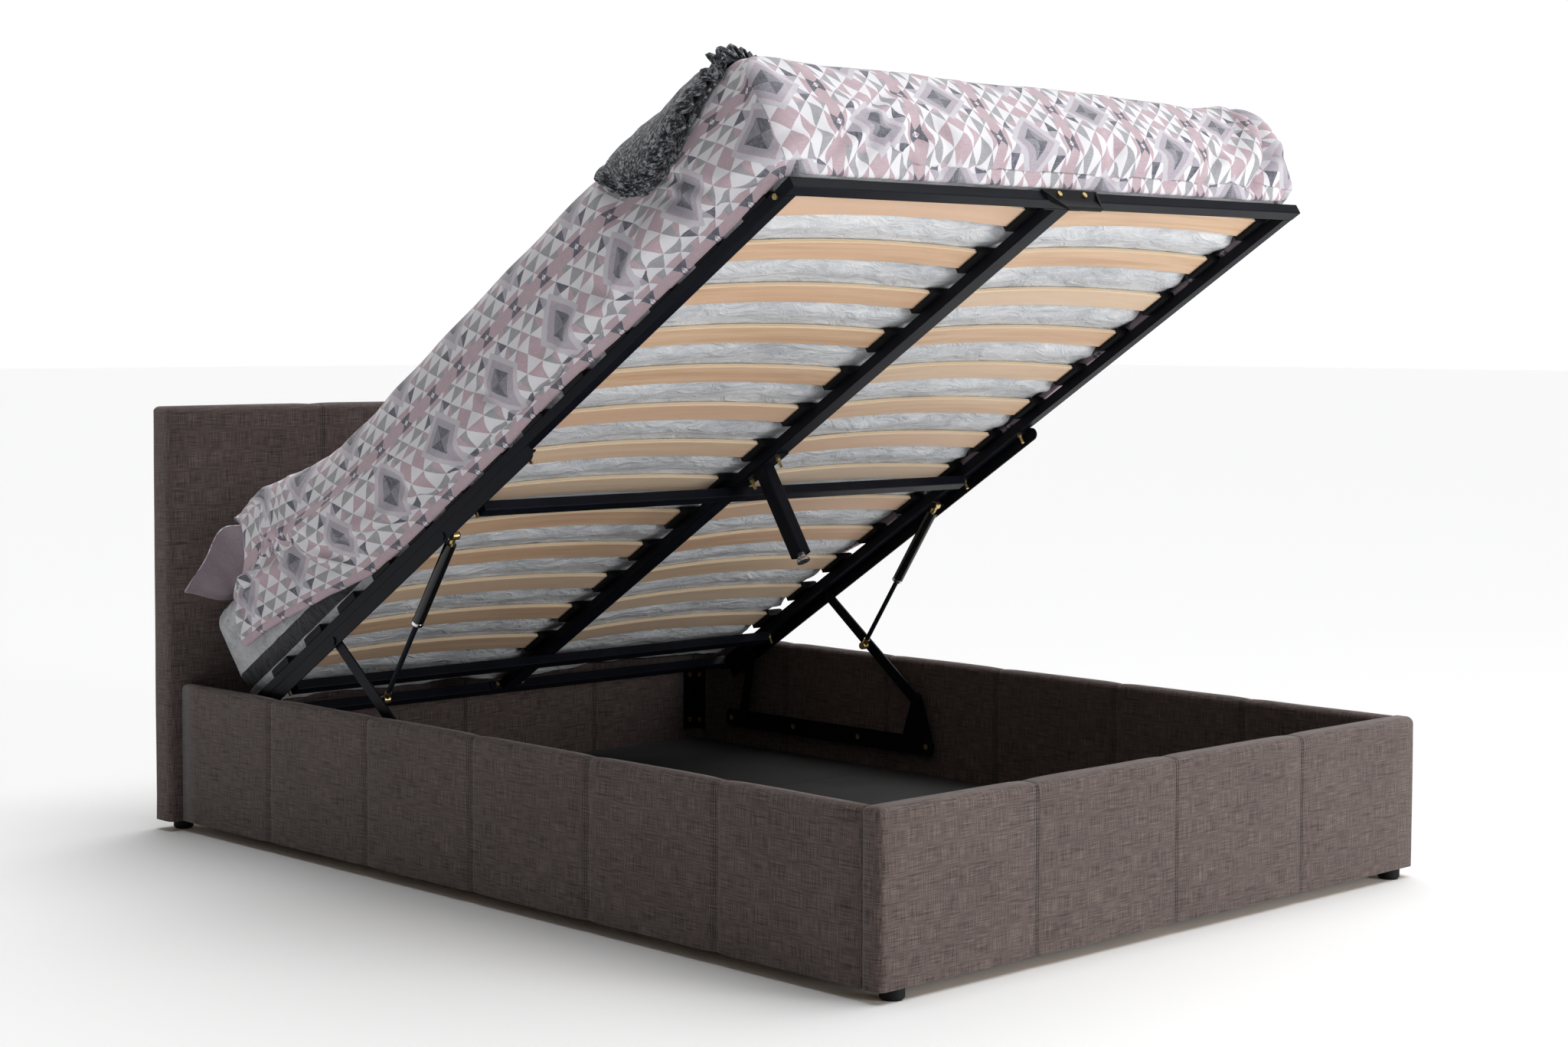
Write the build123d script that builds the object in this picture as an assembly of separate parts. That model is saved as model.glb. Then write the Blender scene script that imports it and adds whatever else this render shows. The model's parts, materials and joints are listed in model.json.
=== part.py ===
from build123d import *
from math import atan2, cos, degrees, hypot, radians, sin
import os

# Upholstered storage bed whose sprung slat platform lifts on two side linkages with gas struts.
# X runs across the bed, Y from the foot panel to the headboard and Z up.
# The origin is on the floor under the middle of the bed. Left is -X, seen from the foot.
# The platform is shown open. Lengths are millimetres and angles are degrees.

# Upholstered surround
bed_width = 1420.0
side_length = 1919.5
foot_thickness = 42.0
foot_top = 297.0
side_thickness = 28.5
side_top = 296.0
side_setback = 1.5
head_thickness = 62.0
head_overhang = 26.5
head_top = 855.0
panel_bottom = 21.0
cover_thickness = 3.0
cover_edge_radius = 12.0
seam_width = 3.0
seam_depth = 1.2
foot_panel_count = 4
side_panel_count = 6
head_panel_count = 4
head_frame_rail = 70.0
head_frame_depth = 36.0
head_bay_count = 3

# Storage floor
batten_height = 22.0
batten_width = 22.0
floor_board_thickness = 5.0
floor_board_count = 3
floor_board_gap = 2.0
centre_beam_width = 60.0
glide_radius = 20.0
glide_rim = 4.0
glide_inset = 48.0
pad_radius = 16.0

# Corner brackets and the fasteners of the surround
bracket_leg = 38.0
bracket_plate = 3.0
bracket_height = 150.0
bracket_rise = 70.0
bolt_head_radius = 6.5
bolt_head_height = 3.5
bolt_shank_radius = 4.0
bolt_shank_length = 22.0
bolt_hole_clearance = 0.4
bolt_edge = 22.0

# Platform frame
platform_side_gap = 15.0
platform_foot_gap = 21.5
platform_head_gap = 18.0
closed_height = 257.0
open_head_gap = 138.4
open_head_height = 227.2
lift_angle = 32.35
tube_width = 25.0
tube_height = 20.0
tube_wall = 1.5
tube_radius = 2.0
centre_rail_width = 40.0
flange_width = 95.0
flange_plate = 3.0
flange_bolt_spacing = 66.0
cross_rail_width = 25.0
cross_rail_height = 20.0
mid_rail_from_head = 882.5
head_rail_from_head = 173.0
tab_length = 27.0
tab_plate = 3.0
angle_length = 1098.0
angle_leg = 30.0
angle_drop = 26.0
angle_plate = 3.0
angle_tip = 22.0
platform_bolt_radius = 3.0
platform_bolt_head = 5.5
platform_bolt_head_height = 3.5
platform_nut_radius = 5.5
platform_nut_height = 5.0
platform_bolt_tail = 15.0
hanging_bolt_inset = 17.5
angle_bolt_from_tip = 31.0
corner_bolt_from_foot = 42.0

# Sprung slats and their caps
slat_rows = 13
first_slat_from_foot = 94.0
last_slat_from_head = 195.0
slat_width = 53.0
slat_thickness = 8.0
slat_crown = 14.0
slat_edge = 1.5
cap_length = 62.0
cap_width = 45.0
cap_height = 17.0
cap_floor = 4.5
cap_grip = 24.0
cap_chamfer = 3.5
centre_cap_width = 82.0
centre_cap_grip = 26.0
fit_clearance = 0.3

# Centre leg and pull handle
centre_leg_from_head = 968.0
leg_size = 30.0
leg_length = 190.0
leg_radius = 4.0
leg_plate_length = 118.0
leg_plate_width = 34.0
leg_plate_thickness = 3.0
leg_bolt_spacing = 86.0
leg_glide_radius = 13.0
leg_glide_height = 7.0
leg_stem_radius = 5.0
leg_stem_length = 7.0
handle_top_width = 145.0
handle_low_width = 92.0
handle_height = 50.0
handle_flat = 20.0
handle_reach = 18.0
handle_plate = 4.0
handle_lip = 6.0
handle_radius = 8.0

# Lift linkage. Pivots on the platform are measured from its head end.
front_pivot_from_head = 383.0
rear_pivot_from_head = 90.0
strut_pivot_from_head = 792.0
front_base_height = 213.5
rear_base_height = 112.0
link_base_radius = 13.0
link_top_radius = 11.0
link_plate = 4.0
link_gap = 3.0
strut_stud_on_link = 165.0
base_strip_height = 40.0
base_strip_end = 60.0
base_ear_radius = 14.0
base_ear_foot = 46.0
spacer_radius = 9.0
spacer_count = 4
spacer_edge = 18.0
plate_bolt_head_height = 2.2
rivet_radius = 4.0
rivet_head_radius = 8.0
rivet_head_height = 2.5
pivot_clearance = 0.08
strut_inset = 24.0
barrel_radius = 11.0
barrel_wall = 1.5
barrel_length = 180.0
collar_radius = 11.6
collar_length = 7.0
strut_rod_radius = 5.0
rod_in_barrel = 22.0
rod_clearance = 0.05
eye_radius = 8.0
eye_width = 13.0
eye_shank_radius = 6.0
eye_shank_length = 18.0
stud_radius = 4.0
stud_collar_radius = 7.0
stud_collar_length = 3.0

# Bedding
mattress_side_inset = 3.0
mattress_past_foot = 15.0
mattress_height = 190.0
mattress_from_head = 10.0
mattress_radius = 38.0
mattress_padding = 20.0
bedding_gap = 0.6
quilt_side_reach = 40.0
quilt_foot_reach = 46.0
quilt_from_head = 126.0
quilt_top = 303.0
quilt_shoulder = 88.0
quilt_sag = 12.0
quilt_hem_run = 430.0
quilt_hem_rise = 86.0
quilt_wall = 8.0
pillow_overhang = 28.0
pillow_from_middle = 38.0
pillow_depth = 440.0
pillow_height = 108.0
pillow_edge = 16.0
pillow_from_head = 28.0
throw_from_foot = 58.0
throw_width = 360.0
throw_thickness = 11.0
throw_drop = 110.0
throw_end_inset = 145.0

# Shares of the quilt's length, half width and top height, from its foot end to its head end:
# place, width, lower edge and crown
quilt_shares = (
    (0.0, 0.936, 0.297, 0.710),
    (0.009, 0.979, 0.198, 0.865),
    (0.037, 0.997, 0.142, 0.957),
    (0.081, 1.0, 0.142, 0.997),
    (0.181, 0.993, 0.142, 1.0),
    (0.281, 1.0, 0.142, 0.995),
    (0.381, 0.993, 0.142, 1.0),
    (0.481, 1.0, 0.142, 0.995),
    (0.581, 0.993, 0.142, 1.0),
    (0.681, 1.0, 0.142, 1.0),
    (0.792, 0.993, 0.142, 1.06),
    (0.892, 1.0, 0.142, 1.19),
    (0.970, 1.0, 0.142, 1.24),
    (1.0, 0.996, 0.142, 1.16),
)

# Shares of a pillow's length, depth and height
pillow_shares = (
    (0.0, 0.93, 0.17),
    (0.06, 0.965, 0.5),
    (0.22, 0.99, 0.86),
    (0.5, 1.0, 1.0),
    (0.78, 0.99, 0.86),
    (0.94, 0.965, 0.5),
    (1.0, 0.93, 0.17),
)

overrun = 5.0

# Places that follow from the sizes
total_length = foot_thickness + side_length + head_thickness
foot_face = -total_length / 2
foot_inner = foot_face + foot_thickness
head_inner = foot_inner + side_length
side_outer = bed_width / 2 - side_setback
side_inner = side_outer - side_thickness
head_half_width = bed_width / 2 + head_overhang
floor_support = panel_bottom + fit_clearance
floor_top = floor_support + batten_height + floor_board_thickness
platform_length = side_length - platform_foot_gap - platform_head_gap
slat_pitch = (platform_length - first_slat_from_foot - last_slat_from_head) / (slat_rows - 1)
platform_half_width = side_inner - platform_side_gap
web_outer = platform_half_width
web_inner = web_outer - angle_plate
link_outer = web_inner - link_gap
link_inner = link_outer - link_plate
strut_plane = web_inner - strut_inset
pivot_drop = (angle_drop + angle_plate) / 2
slat_seat = tube_height + cap_floor
mattress_low = slat_seat + slat_thickness + slat_crown + bedding_gap
mattress_top = mattress_low + mattress_height
mattress_half_width = platform_half_width - mattress_side_inset
mattress_length = platform_length - mattress_from_head + mattress_past_foot
quilt_half_width = platform_half_width + quilt_side_reach
quilt_length = platform_length + quilt_foot_reach - quilt_from_head
pillow_length = mattress_half_width + pillow_overhang - pillow_from_middle
throw_reach = quilt_half_width - throw_end_inset

open_frame = Pos(0, head_inner - open_head_gap, open_head_height) * Rot(X=-lift_angle)
closed_frame = Pos(0, head_inner - platform_head_gap, closed_height)


def span_box(x_span, y_span, z_span):
    """Box between two places on each axis."""
    size = [abs(b - a) for a, b in (x_span, y_span, z_span)]
    centre = [(a + b) / 2 for a, b in (x_span, y_span, z_span)]
    return Pos(*centre) * Box(*size)


def rod_x(x_span, y, z, radius):
    """Cylinder along X."""
    length = abs(x_span[1] - x_span[0])
    return Pos(sum(x_span) / 2, y, z) * Rot(Y=90) * Cylinder(radius, length)


def rod_z(x, y, z_span, radius):
    """Cylinder along Z."""
    return Pos(x, y, sum(z_span) / 2) * Cylinder(radius, abs(z_span[1] - z_span[0]))


def rod_y(x, y_span, z, radius):
    """Cylinder along Y."""
    return Pos(x, sum(y_span) / 2, z) * Rot(X=90) * Cylinder(radius, abs(y_span[1] - y_span[0]))


def other_side(shape):
    return mirror(shape, about=Plane.YZ)


def in_platform(from_head, height):
    """A point on the open platform as Y and Z."""
    place = open_frame * Pos(0, -from_head, height)
    return place.position.Y, place.position.Z


def when_closed(from_head, height):
    """The same point with the platform closed."""
    place = closed_frame * Pos(0, -from_head, height)
    return place.position.Y, place.position.Z


def fixed_pivot(open_point, closed_point, height):
    """The point at a height that is as far from both, which a link turns about."""
    dy, dz = closed_point[0] - open_point[0], closed_point[1] - open_point[1]
    mid_y, mid_z = (open_point[0] + closed_point[0]) / 2, (open_point[1] + closed_point[1]) / 2
    return mid_y - (height - mid_z) * dz / dy, height


front_top = in_platform(front_pivot_from_head, -pivot_drop)
front_base = fixed_pivot(front_top, when_closed(front_pivot_from_head, -pivot_drop), front_base_height)
rear_top = in_platform(rear_pivot_from_head, -pivot_drop)
rear_base = fixed_pivot(rear_top, when_closed(rear_pivot_from_head, -pivot_drop), rear_base_height)
strut_top = in_platform(strut_pivot_from_head, -pivot_drop)
front_link_length = hypot(front_top[0] - front_base[0], front_top[1] - front_base[1])
stud_share = strut_stud_on_link / front_link_length
strut_foot = tuple(t + (b - t) * stud_share for t, b in zip(front_top, front_base))


# Upholstered surround


def rounded_panel(x_span, y_span, z_span, radius, round_ends):
    """Padded panel with soft top edges and, where its ends show, soft end edges."""
    panel = span_box(x_span, y_span, z_span)
    soft = panel.faces().sort_by(Axis.Z)[-1].edges()
    if round_ends:
        soft = soft + panel.edges().filter_by(Axis.Z)
    else:
        soft = soft.filter_by(Axis.Y)
    return fillet(soft, radius)


def seam_places(span, count):
    """Places of the seams between equal panels."""
    pitch = (span[1] - span[0]) / count
    return [span[0] + pitch * k for k in range(1, count)]


def inset(span, amount):
    """A span made shorter by an amount at both ends."""
    return span[0] + amount, span[1] - amount


def panel_cover(x_span, y_span, z_span, along_x, seams):
    """Fabric skin over a board, open below, with sunk seams that run over the top."""
    end, dip_end = (cover_thickness, seam_depth) if along_x else (-overrun, -overrun)
    outer = rounded_panel(x_span, y_span, z_span, cover_edge_radius, along_x)
    hollow = rounded_panel(
        inset(x_span, cover_thickness), inset(y_span, end),
        (z_span[0] - overrun, z_span[1] - cover_thickness),
        cover_edge_radius - cover_thickness, along_x,
    )
    core = rounded_panel(
        inset(x_span, seam_depth), inset(y_span, dip_end), (z_span[0] - overrun, z_span[1] - seam_depth),
        cover_edge_radius - seam_depth, along_x,
    )
    strips = []
    for place in seams:
        near = (place - seam_width / 2, place + seam_width / 2)
        wide_x = near if along_x else inset(x_span, -overrun)
        wide_y = inset(y_span, -overrun) if along_x else near
        strips.append(span_box(wide_x, wide_y, inset(z_span, -overrun)) - core)
    return outer - hollow - Compound(strips)


def board_in_cover(x_span, y_span, z_span, along_x):
    """Padded board that fills a cover."""
    end = cover_thickness if along_x else 0
    return rounded_panel(
        inset(x_span, cover_thickness), inset(y_span, end), (z_span[0], z_span[1] - cover_thickness),
        cover_edge_radius - cover_thickness, along_x,
    )


foot_spans = ((-bed_width / 2, bed_width / 2), (foot_face, foot_inner), (panel_bottom, foot_top))
side_spans = ((side_inner, side_outer), (foot_inner, head_inner), (panel_bottom, side_top))
head_spans = (
    (-head_half_width, head_half_width), (head_inner, head_inner + head_thickness), (panel_bottom, head_top),
)
bracket_top = bracket_rise + bracket_height
bracket_bolt_heights = (bracket_rise + bolt_edge, bracket_top - bolt_edge)


def corner_bolts(shank_radius):
    """Bolts that hold the four corner brackets, or their holes."""
    bolts = []
    walls = ((1, foot_inner, 1), (-1, foot_inner, 1), (1, head_inner, -1), (-1, head_inner, -1))
    for sign, wall, away in walls:
        for height in bracket_bolt_heights:
            seat_y = wall + away * bracket_plate
            seat_x = side_inner - bracket_plate
            beside = wall + away * bolt_edge
            across = sign * (side_inner - bolt_edge)
            head = RegularPolygon(bolt_head_radius, 6)
            end = Pos(across, seat_y, height) * Rot(X=-90 * away) * extrude(head, bolt_head_height)
            end += rod_y(across, (seat_y, seat_y - away * bolt_shank_length), height, shank_radius)
            side = Pos(sign * seat_x, beside, height) * Rot(Y=-90 * sign) * extrude(head, bolt_head_height)
            shank = (sign * seat_x, sign * (seat_x + bolt_shank_length))
            side += rod_x(shank, beside, height, shank_radius)
            bolts += [end, side]
    return bolts


def corner_brackets():
    """Angle brackets inside the four corners."""
    brackets = []
    for wall, away in ((foot_inner, 1), (head_inner, -1)):
        far = wall + away * bracket_leg
        height = (bracket_rise, bracket_top)
        bracket = span_box((side_inner - bracket_plate, side_inner), (wall, far), height)
        across = (side_inner - bracket_leg, side_inner)
        bracket += span_box(across, (wall, wall + away * bracket_plate), height)
        brackets += [bracket, other_side(bracket)]
    return brackets


def headboard_layers():
    """Timber frame of the headboard with three bays, and the padded boards on its front and back."""
    x_span, (y0, y1), (z0, z1) = head_spans
    core = board_in_cover(*head_spans, along_x=True)
    middle = (y0 + y1) / 2
    depth = (middle - head_frame_depth / 2, middle + head_frame_depth / 2)
    layer = span_box(inset(x_span, -overrun), depth, (z0 - overrun, z1 + overrun))
    frame = core & layer
    left = x_span[0] + cover_thickness
    post_pitch = (x_span[1] - cover_thickness - head_frame_rail - left) / head_bay_count
    for k in range(head_bay_count):
        bay = (left + head_frame_rail + k * post_pitch, left + (k + 1) * post_pitch)
        frame -= span_box(bay, depth, (z0 + head_frame_rail, z1 - cover_thickness - head_frame_rail))
    return frame, (core - layer).solids()


def surround():
    """Nodes of the headboard, side rails and foot panel."""
    hole = bolt_shank_radius + bolt_hole_clearance
    holes = Compound(corner_bolts(hole) + spacer_bolts(hole))
    side_board = board_in_cover(*side_spans, along_x=False)
    side_seams = seam_places(side_spans[1], side_panel_count)
    side_cover = panel_cover(*side_spans, along_x=False, seams=side_seams)
    foot_cover = panel_cover(*foot_spans, along_x=True, seams=seam_places(foot_spans[0], foot_panel_count))
    frame, panels = headboard_layers()
    head_cover = panel_cover(*head_spans, along_x=True, seams=seam_places(head_spans[0], head_panel_count))
    return {
        "headboard_frame": frame - holes,
        "headboard_panels": [panel - holes for panel in panels],
        "headboard_cover": head_cover - holes,
        "foot_board": board_in_cover(*foot_spans, along_x=True) - holes,
        "foot_cover": foot_cover - holes,
        "side_board_left": other_side(side_board) - holes,
        "side_board_right": side_board - holes,
        "side_cover_left": other_side(side_cover) - holes,
        "side_cover_right": side_cover - holes,
        "corner_brackets": [bracket - holes for bracket in corner_brackets()],
        "corner_bolts": corner_bolts(bolt_shank_radius),
    }


def storage_floor():
    """Nodes of the battens, centre beam, floor boards and feet."""
    level = (floor_support, floor_support + batten_height)
    batten = span_box((side_inner - batten_width, side_inner), (foot_inner, head_inner), level)
    beam = span_box((-centre_beam_width / 2, centre_beam_width / 2), (foot_inner, head_inner), level)
    board_run = (side_length - floor_board_gap * (floor_board_count + 1)) / floor_board_count
    boards = []
    for k in range(floor_board_count):
        start = foot_inner + floor_board_gap + k * (board_run + floor_board_gap)
        wide = side_inner - floor_board_gap
        boards.append(span_box((-wide, wide), (start, start + board_run), (level[1], floor_top)))
    glides = []
    foot_x, head_x = bed_width / 2 - glide_inset, head_half_width - glide_inset
    for x, y in ((foot_x, foot_face + foot_thickness / 2), (head_x, head_inner + head_thickness / 2)):
        glide = chamfer(Cylinder(glide_radius, panel_bottom).faces().sort_by(Axis.Z)[0].edges(), glide_rim)
        glides += [Pos(sign * x, y, panel_bottom / 2) * glide for sign in (-1, 1)]
    pads = [rod_z(0, sign * side_length / 4, (0, floor_support), pad_radius) for sign in (-1, 1)]
    return {
        "floor_battens": [other_side(batten), batten],
        "centre_beam": beam,
        "centre_pads": pads,
        "floor_boards": boards,
        "glides": glides,
    }


# Lift linkage at the sides of the storage box


def spacer_places():
    """Y of the spacers that hold a base plate off its side rail."""
    low = front_base[0] - base_ear_foot + spacer_edge
    high = rear_base[0] + base_strip_end - spacer_edge
    step = (high - low) / (spacer_count - 1)
    return [low + step * k for k in range(spacer_count)]


def spacer_bolts(shank_radius):
    """Bolts through both base plates and their spacers into the side rails, or their holes."""
    bolts = []
    for y in spacer_places():
        head = extrude(RegularPolygon(bolt_head_radius, 6), plate_bolt_head_height)
        bolt = Pos(web_inner, y, rear_base_height) * Rot(Y=-90) * head
        shank = (web_inner, side_inner + bolt_shank_length - cover_thickness)
        bolt += rod_x(shank, y, rear_base_height, shank_radius)
        bolts += [bolt, other_side(bolt)]
    return bolts


def spacers():
    tubes = []
    for y in spacer_places():
        tube = rod_x((web_outer, side_inner), y, rear_base_height, spacer_radius)
        tube -= rod_x((web_outer, side_inner), y, rear_base_height, bolt_shank_radius + bolt_hole_clearance)
        tubes += [tube, other_side(tube)]
    return tubes


def side_outline(face, x_inner, thickness):
    """Plate of a side outline drawn in Y and Z, laid between an inner X and its thickness."""
    return Pos(x_inner) * extrude(Plane.YZ * face, thickness)


def base_plate():
    """Strip along the right side rail with a raised ear for the front pivot."""
    low, high = front_base[0] - base_ear_foot, rear_base[0] + base_strip_end
    strip = RectangleRounded(high - low, base_strip_height, cover_edge_radius)
    strip = Pos((low + high) / 2, rear_base_height) * strip
    root = Pos(front_base[0], rear_base_height) * Rectangle(2 * base_ear_foot, base_strip_height / 2)
    ear = Pos(*front_base) * Circle(base_ear_radius)
    plate = strip + make_hull(root.edges() + ear.edges())
    hole = Circle(rivet_radius + pivot_clearance)
    bolt_hole = Circle(bolt_shank_radius + bolt_hole_clearance)
    plate -= Pos(*front_base) * hole
    plate -= Pos(*rear_base) * hole
    for y in spacer_places():
        plate -= Pos(y, rear_base_height) * bolt_hole
    return side_outline(plate, web_inner, angle_plate)


def flat_link(top, base):
    """Flat bar between two pivots, narrower at its upper end."""
    ends = Pos(*top) * Circle(link_top_radius), Pos(*base) * Circle(link_base_radius)
    bar = make_hull(ends[0].edges() + ends[1].edges())
    return side_outline(bar, link_inner, link_plate)


def link_hole(y, z):
    """Hole that turns about a rivet."""
    return rod_x((link_inner - overrun, link_outer + overrun), y, z, rivet_radius + pivot_clearance)


def front_link():
    """Right front link with the stud that the strut pushes on."""
    link = flat_link(front_top, front_base) - link_hole(*front_top) - link_hole(*front_base)
    stud = rod_x((strut_plane + eye_width / 2 + fit_clearance, link_inner), *strut_foot, stud_radius)
    collar = rod_x((link_inner - stud_collar_length, link_inner), *strut_foot, stud_collar_radius)
    return link + stud + collar


def rear_link():
    """Right rear link with a fixed stud at its lower end that stops short of the base plate."""
    link = flat_link(rear_top, rear_base) - link_hole(*rear_top)
    stud = rod_x((link_inner, web_inner - fit_clearance), *rear_base, rivet_radius)
    head = rod_x((link_inner - rivet_head_height, link_inner), *rear_base, rivet_head_radius)
    return link + stud + head


def outer_rivet(y, z, inner_x):
    """Rivet through the web or base plate, with its outer head."""
    rivet = rod_x((inner_x, web_outer + rivet_head_height), y, z, rivet_radius)
    return rivet + rod_x((web_outer, web_outer + rivet_head_height), y, z, rivet_head_radius)


def full_rivet(y, z):
    """Rivet through a link and its carrier with two heads and a washer between them."""
    rivet = outer_rivet(y, z, link_inner - rivet_head_height)
    rivet += rod_x((link_inner - rivet_head_height, link_inner), y, z, rivet_head_radius)
    return rivet + rod_x((link_outer, web_inner), y, z, rivet_head_radius)


def strut_stud():
    """Stud on the right web that carries the upper eye of the strut."""
    tip = strut_plane - eye_width / 2 - stud_collar_length
    stud = outer_rivet(*strut_top, tip)
    stud += rod_x((web_inner - stud_collar_length, web_inner), *strut_top, stud_collar_radius)
    return stud + rod_x((tip, strut_plane - eye_width / 2), *strut_top, stud_collar_radius)


# The strut is drawn down its own Z axis from its upper eye, then turned into place
strut_run = hypot(strut_foot[0] - strut_top[0], strut_foot[1] - strut_top[1])
strut_lean = degrees(atan2(strut_foot[0] - strut_top[0], strut_top[1] - strut_foot[1]))
strut_place = Pos(strut_plane, *strut_top) * Rot(X=strut_lean)
barrel_end = eye_shank_length + barrel_length


def strut_eye(bored):
    """Brass end fitting: a cross eye with a shank."""
    eye = Rot(Y=90) * Cylinder(eye_radius, eye_width)
    eye += rod_z(0, 0, (-eye_shank_length, 0), eye_shank_radius)
    if bored:
        eye -= Rot(Y=90) * Cylinder(stud_radius + pivot_clearance, eye_width)
    return eye


def strut_barrel():
    """Tube closed at its upper end and, as a second solid, the collar that guides the rod."""
    barrel = rod_z(0, 0, (-barrel_end, -eye_shank_length), barrel_radius)
    barrel -= rod_z(0, 0, (-barrel_end, -eye_shank_length - barrel_wall), barrel_radius - barrel_wall)
    collar_low = -barrel_end - collar_length
    collar = rod_z(0, 0, (collar_low, -barrel_end), collar_radius)
    collar = fillet(collar.faces().sort_by(Axis.Z)[0].edges(), barrel_wall)
    collar -= rod_z(0, 0, (collar_low, -barrel_end), strut_rod_radius + rod_clearance)
    return [barrel, collar]


def strut():
    """Pieces of the right strut in place."""
    rod = rod_z(0, 0, (eye_shank_length - strut_run, rod_in_barrel - barrel_end), strut_rod_radius)
    foot = Pos(0, 0, -strut_run) * Rot(Y=180) * strut_eye(False)
    return {
        "strut_barrel": [strut_place * solid for solid in strut_barrel()],
        "strut_barrel_end": strut_place * strut_eye(True),
        "strut_rod": strut_place * rod,
        "strut_rod_end": strut_place * foot,
    }


def linkage():
    """Nodes of the linkage on both sides."""
    base_rivets = [full_rivet(*front_base), outer_rivet(*rear_base, web_inner)]
    platform_rivets = [full_rivet(*front_top), full_rivet(*rear_top), strut_stud()]
    nodes = {
        "base_plate_spacers": spacers(),
        "base_plate_bolts": spacer_bolts(bolt_shank_radius),
        "base_rivets": base_rivets + [other_side(rivet) for rivet in base_rivets],
        "platform_rivets": platform_rivets + [other_side(rivet) for rivet in platform_rivets],
    }
    sided = {"base_plate": base_plate(), "front_link": front_link(), "rear_link": rear_link(), **strut()}
    for name, shape in sided.items():
        solids = shape if isinstance(shape, list) else [shape]
        nodes[name + "_right"] = solids
        nodes[name + "_left"] = [other_side(solid) for solid in solids]
    return nodes


# Platform frame, drawn flat: Y is zero at its head end and Z at its underside


def hollow_tube(x_span, y_span, z_span, axis, capped=False):
    """Steel tube with rounded corners, open at its ends or welded shut."""
    tube = fillet(span_box(x_span, y_span, z_span).edges().filter_by(axis), tube_radius)
    walls = [tube_wall if capped or axis != way else -overrun for way in (Axis.X, Axis.Y, Axis.Z)]
    return tube - span_box(*[inset(span, wall) for span, wall in zip((x_span, y_span, z_span), walls)])


def flange_bolt_places():
    return [-flange_bolt_spacing / 2, flange_bolt_spacing / 2]


def hanging_bolt_places():
    """X, Y and seat height of the bolts whose ends hang below the frame."""
    across = platform_half_width - hanging_bolt_inset
    tab_seat = -angle_plate - tab_plate
    leg_bolts = [-centre_leg_from_head + sign * leg_bolt_spacing / 2 for sign in (-1, 1)]
    places = [(0, y, -leg_plate_thickness) for y in leg_bolts]
    for y, seat in (
        (angle_bolt_from_tip - angle_length, -angle_plate), (-mid_rail_from_head, tab_seat),
        (-head_rail_from_head, tab_seat),
    ):
        places += [(sign * across, y, seat) for sign in (-1, 1)]
    return places


def cross_rail(from_head):
    """Tube under the frame with a tab at each end that bolts below the angle."""
    reach = platform_half_width - angle_leg - fit_clearance
    along = (-from_head - cross_rail_width / 2, -from_head + cross_rail_width / 2)
    rail = hollow_tube((-reach, reach), along, (-cross_rail_height, 0), Axis.X)
    inside = inset(along, tube_wall)
    tab = span_box((reach - tab_plate, reach), inside, (tube_wall - cross_rail_height, -tube_wall))
    seat = (-angle_plate - tab_plate, -angle_plate)
    tab += span_box((reach - tab_plate, reach + tab_length), inside, seat)
    return rail + tab + other_side(tab)


def top_angle():
    """Angle iron below a side tube, whose web hangs down and runs on to a rounded tip."""
    flange = span_box((web_outer - angle_leg, web_outer), (angle_tip - angle_length, 0), (-angle_plate, 0))
    radius = angle_drop / 2
    web = span_box((web_inner, web_outer), (radius - angle_length, 0), (-angle_drop, 0))
    return flange + web + rod_x((web_inner, web_outer), radius - angle_length, -radius, radius)


def centre_rail():
    """Tube down the middle with a flange at each end."""
    ends = (-platform_length + tube_width, -tube_width)
    half = centre_rail_width / 2
    rail = hollow_tube((-half, half), inset(ends, flange_plate), (0, tube_height), Axis.Y)
    wide = (-flange_width / 2, flange_width / 2)
    for y in ends:
        inner = y + flange_plate if y < -platform_length / 2 else y - flange_plate
        rail += span_box(wide, (min(y, inner), max(y, inner)), (0, tube_height))
    return rail


def frame_holes():
    """Holes for the bolts, studs and rivets that pass through the platform frame."""
    radius = platform_bolt_radius + bolt_hole_clearance
    middle = tube_height / 2
    holes = [rod_z(x, y, (-cross_rail_height, middle), radius) for x, y, seat in hanging_bolt_places()]
    for x in flange_bolt_places():
        plates = tube_width + flange_plate + overrun
        foot = (-platform_length - handle_plate - overrun, plates - platform_length)
        holes.append(rod_y(x, foot, middle, radius))
        holes.append(rod_y(x, (-plates, overrun), middle, radius))
    for sign in (-1, 1):
        through = (sign * (platform_half_width - tube_width / 2), sign * (platform_half_width + overrun))
        holes.append(rod_x(through, corner_bolt_from_foot - platform_length, middle, radius))
        web = (sign * (web_inner - overrun), sign * (web_outer + overrun))
        for from_head, size in (
            (front_pivot_from_head, rivet_radius), (rear_pivot_from_head, rivet_radius),
            (strut_pivot_from_head, stud_radius),
        ):
            holes.append(rod_x(web, -from_head, -pivot_drop, size + pivot_clearance))
    return Compound(holes)


def hex_head(radius, height):
    return extrude(RegularPolygon(radius, 6), height)


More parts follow.
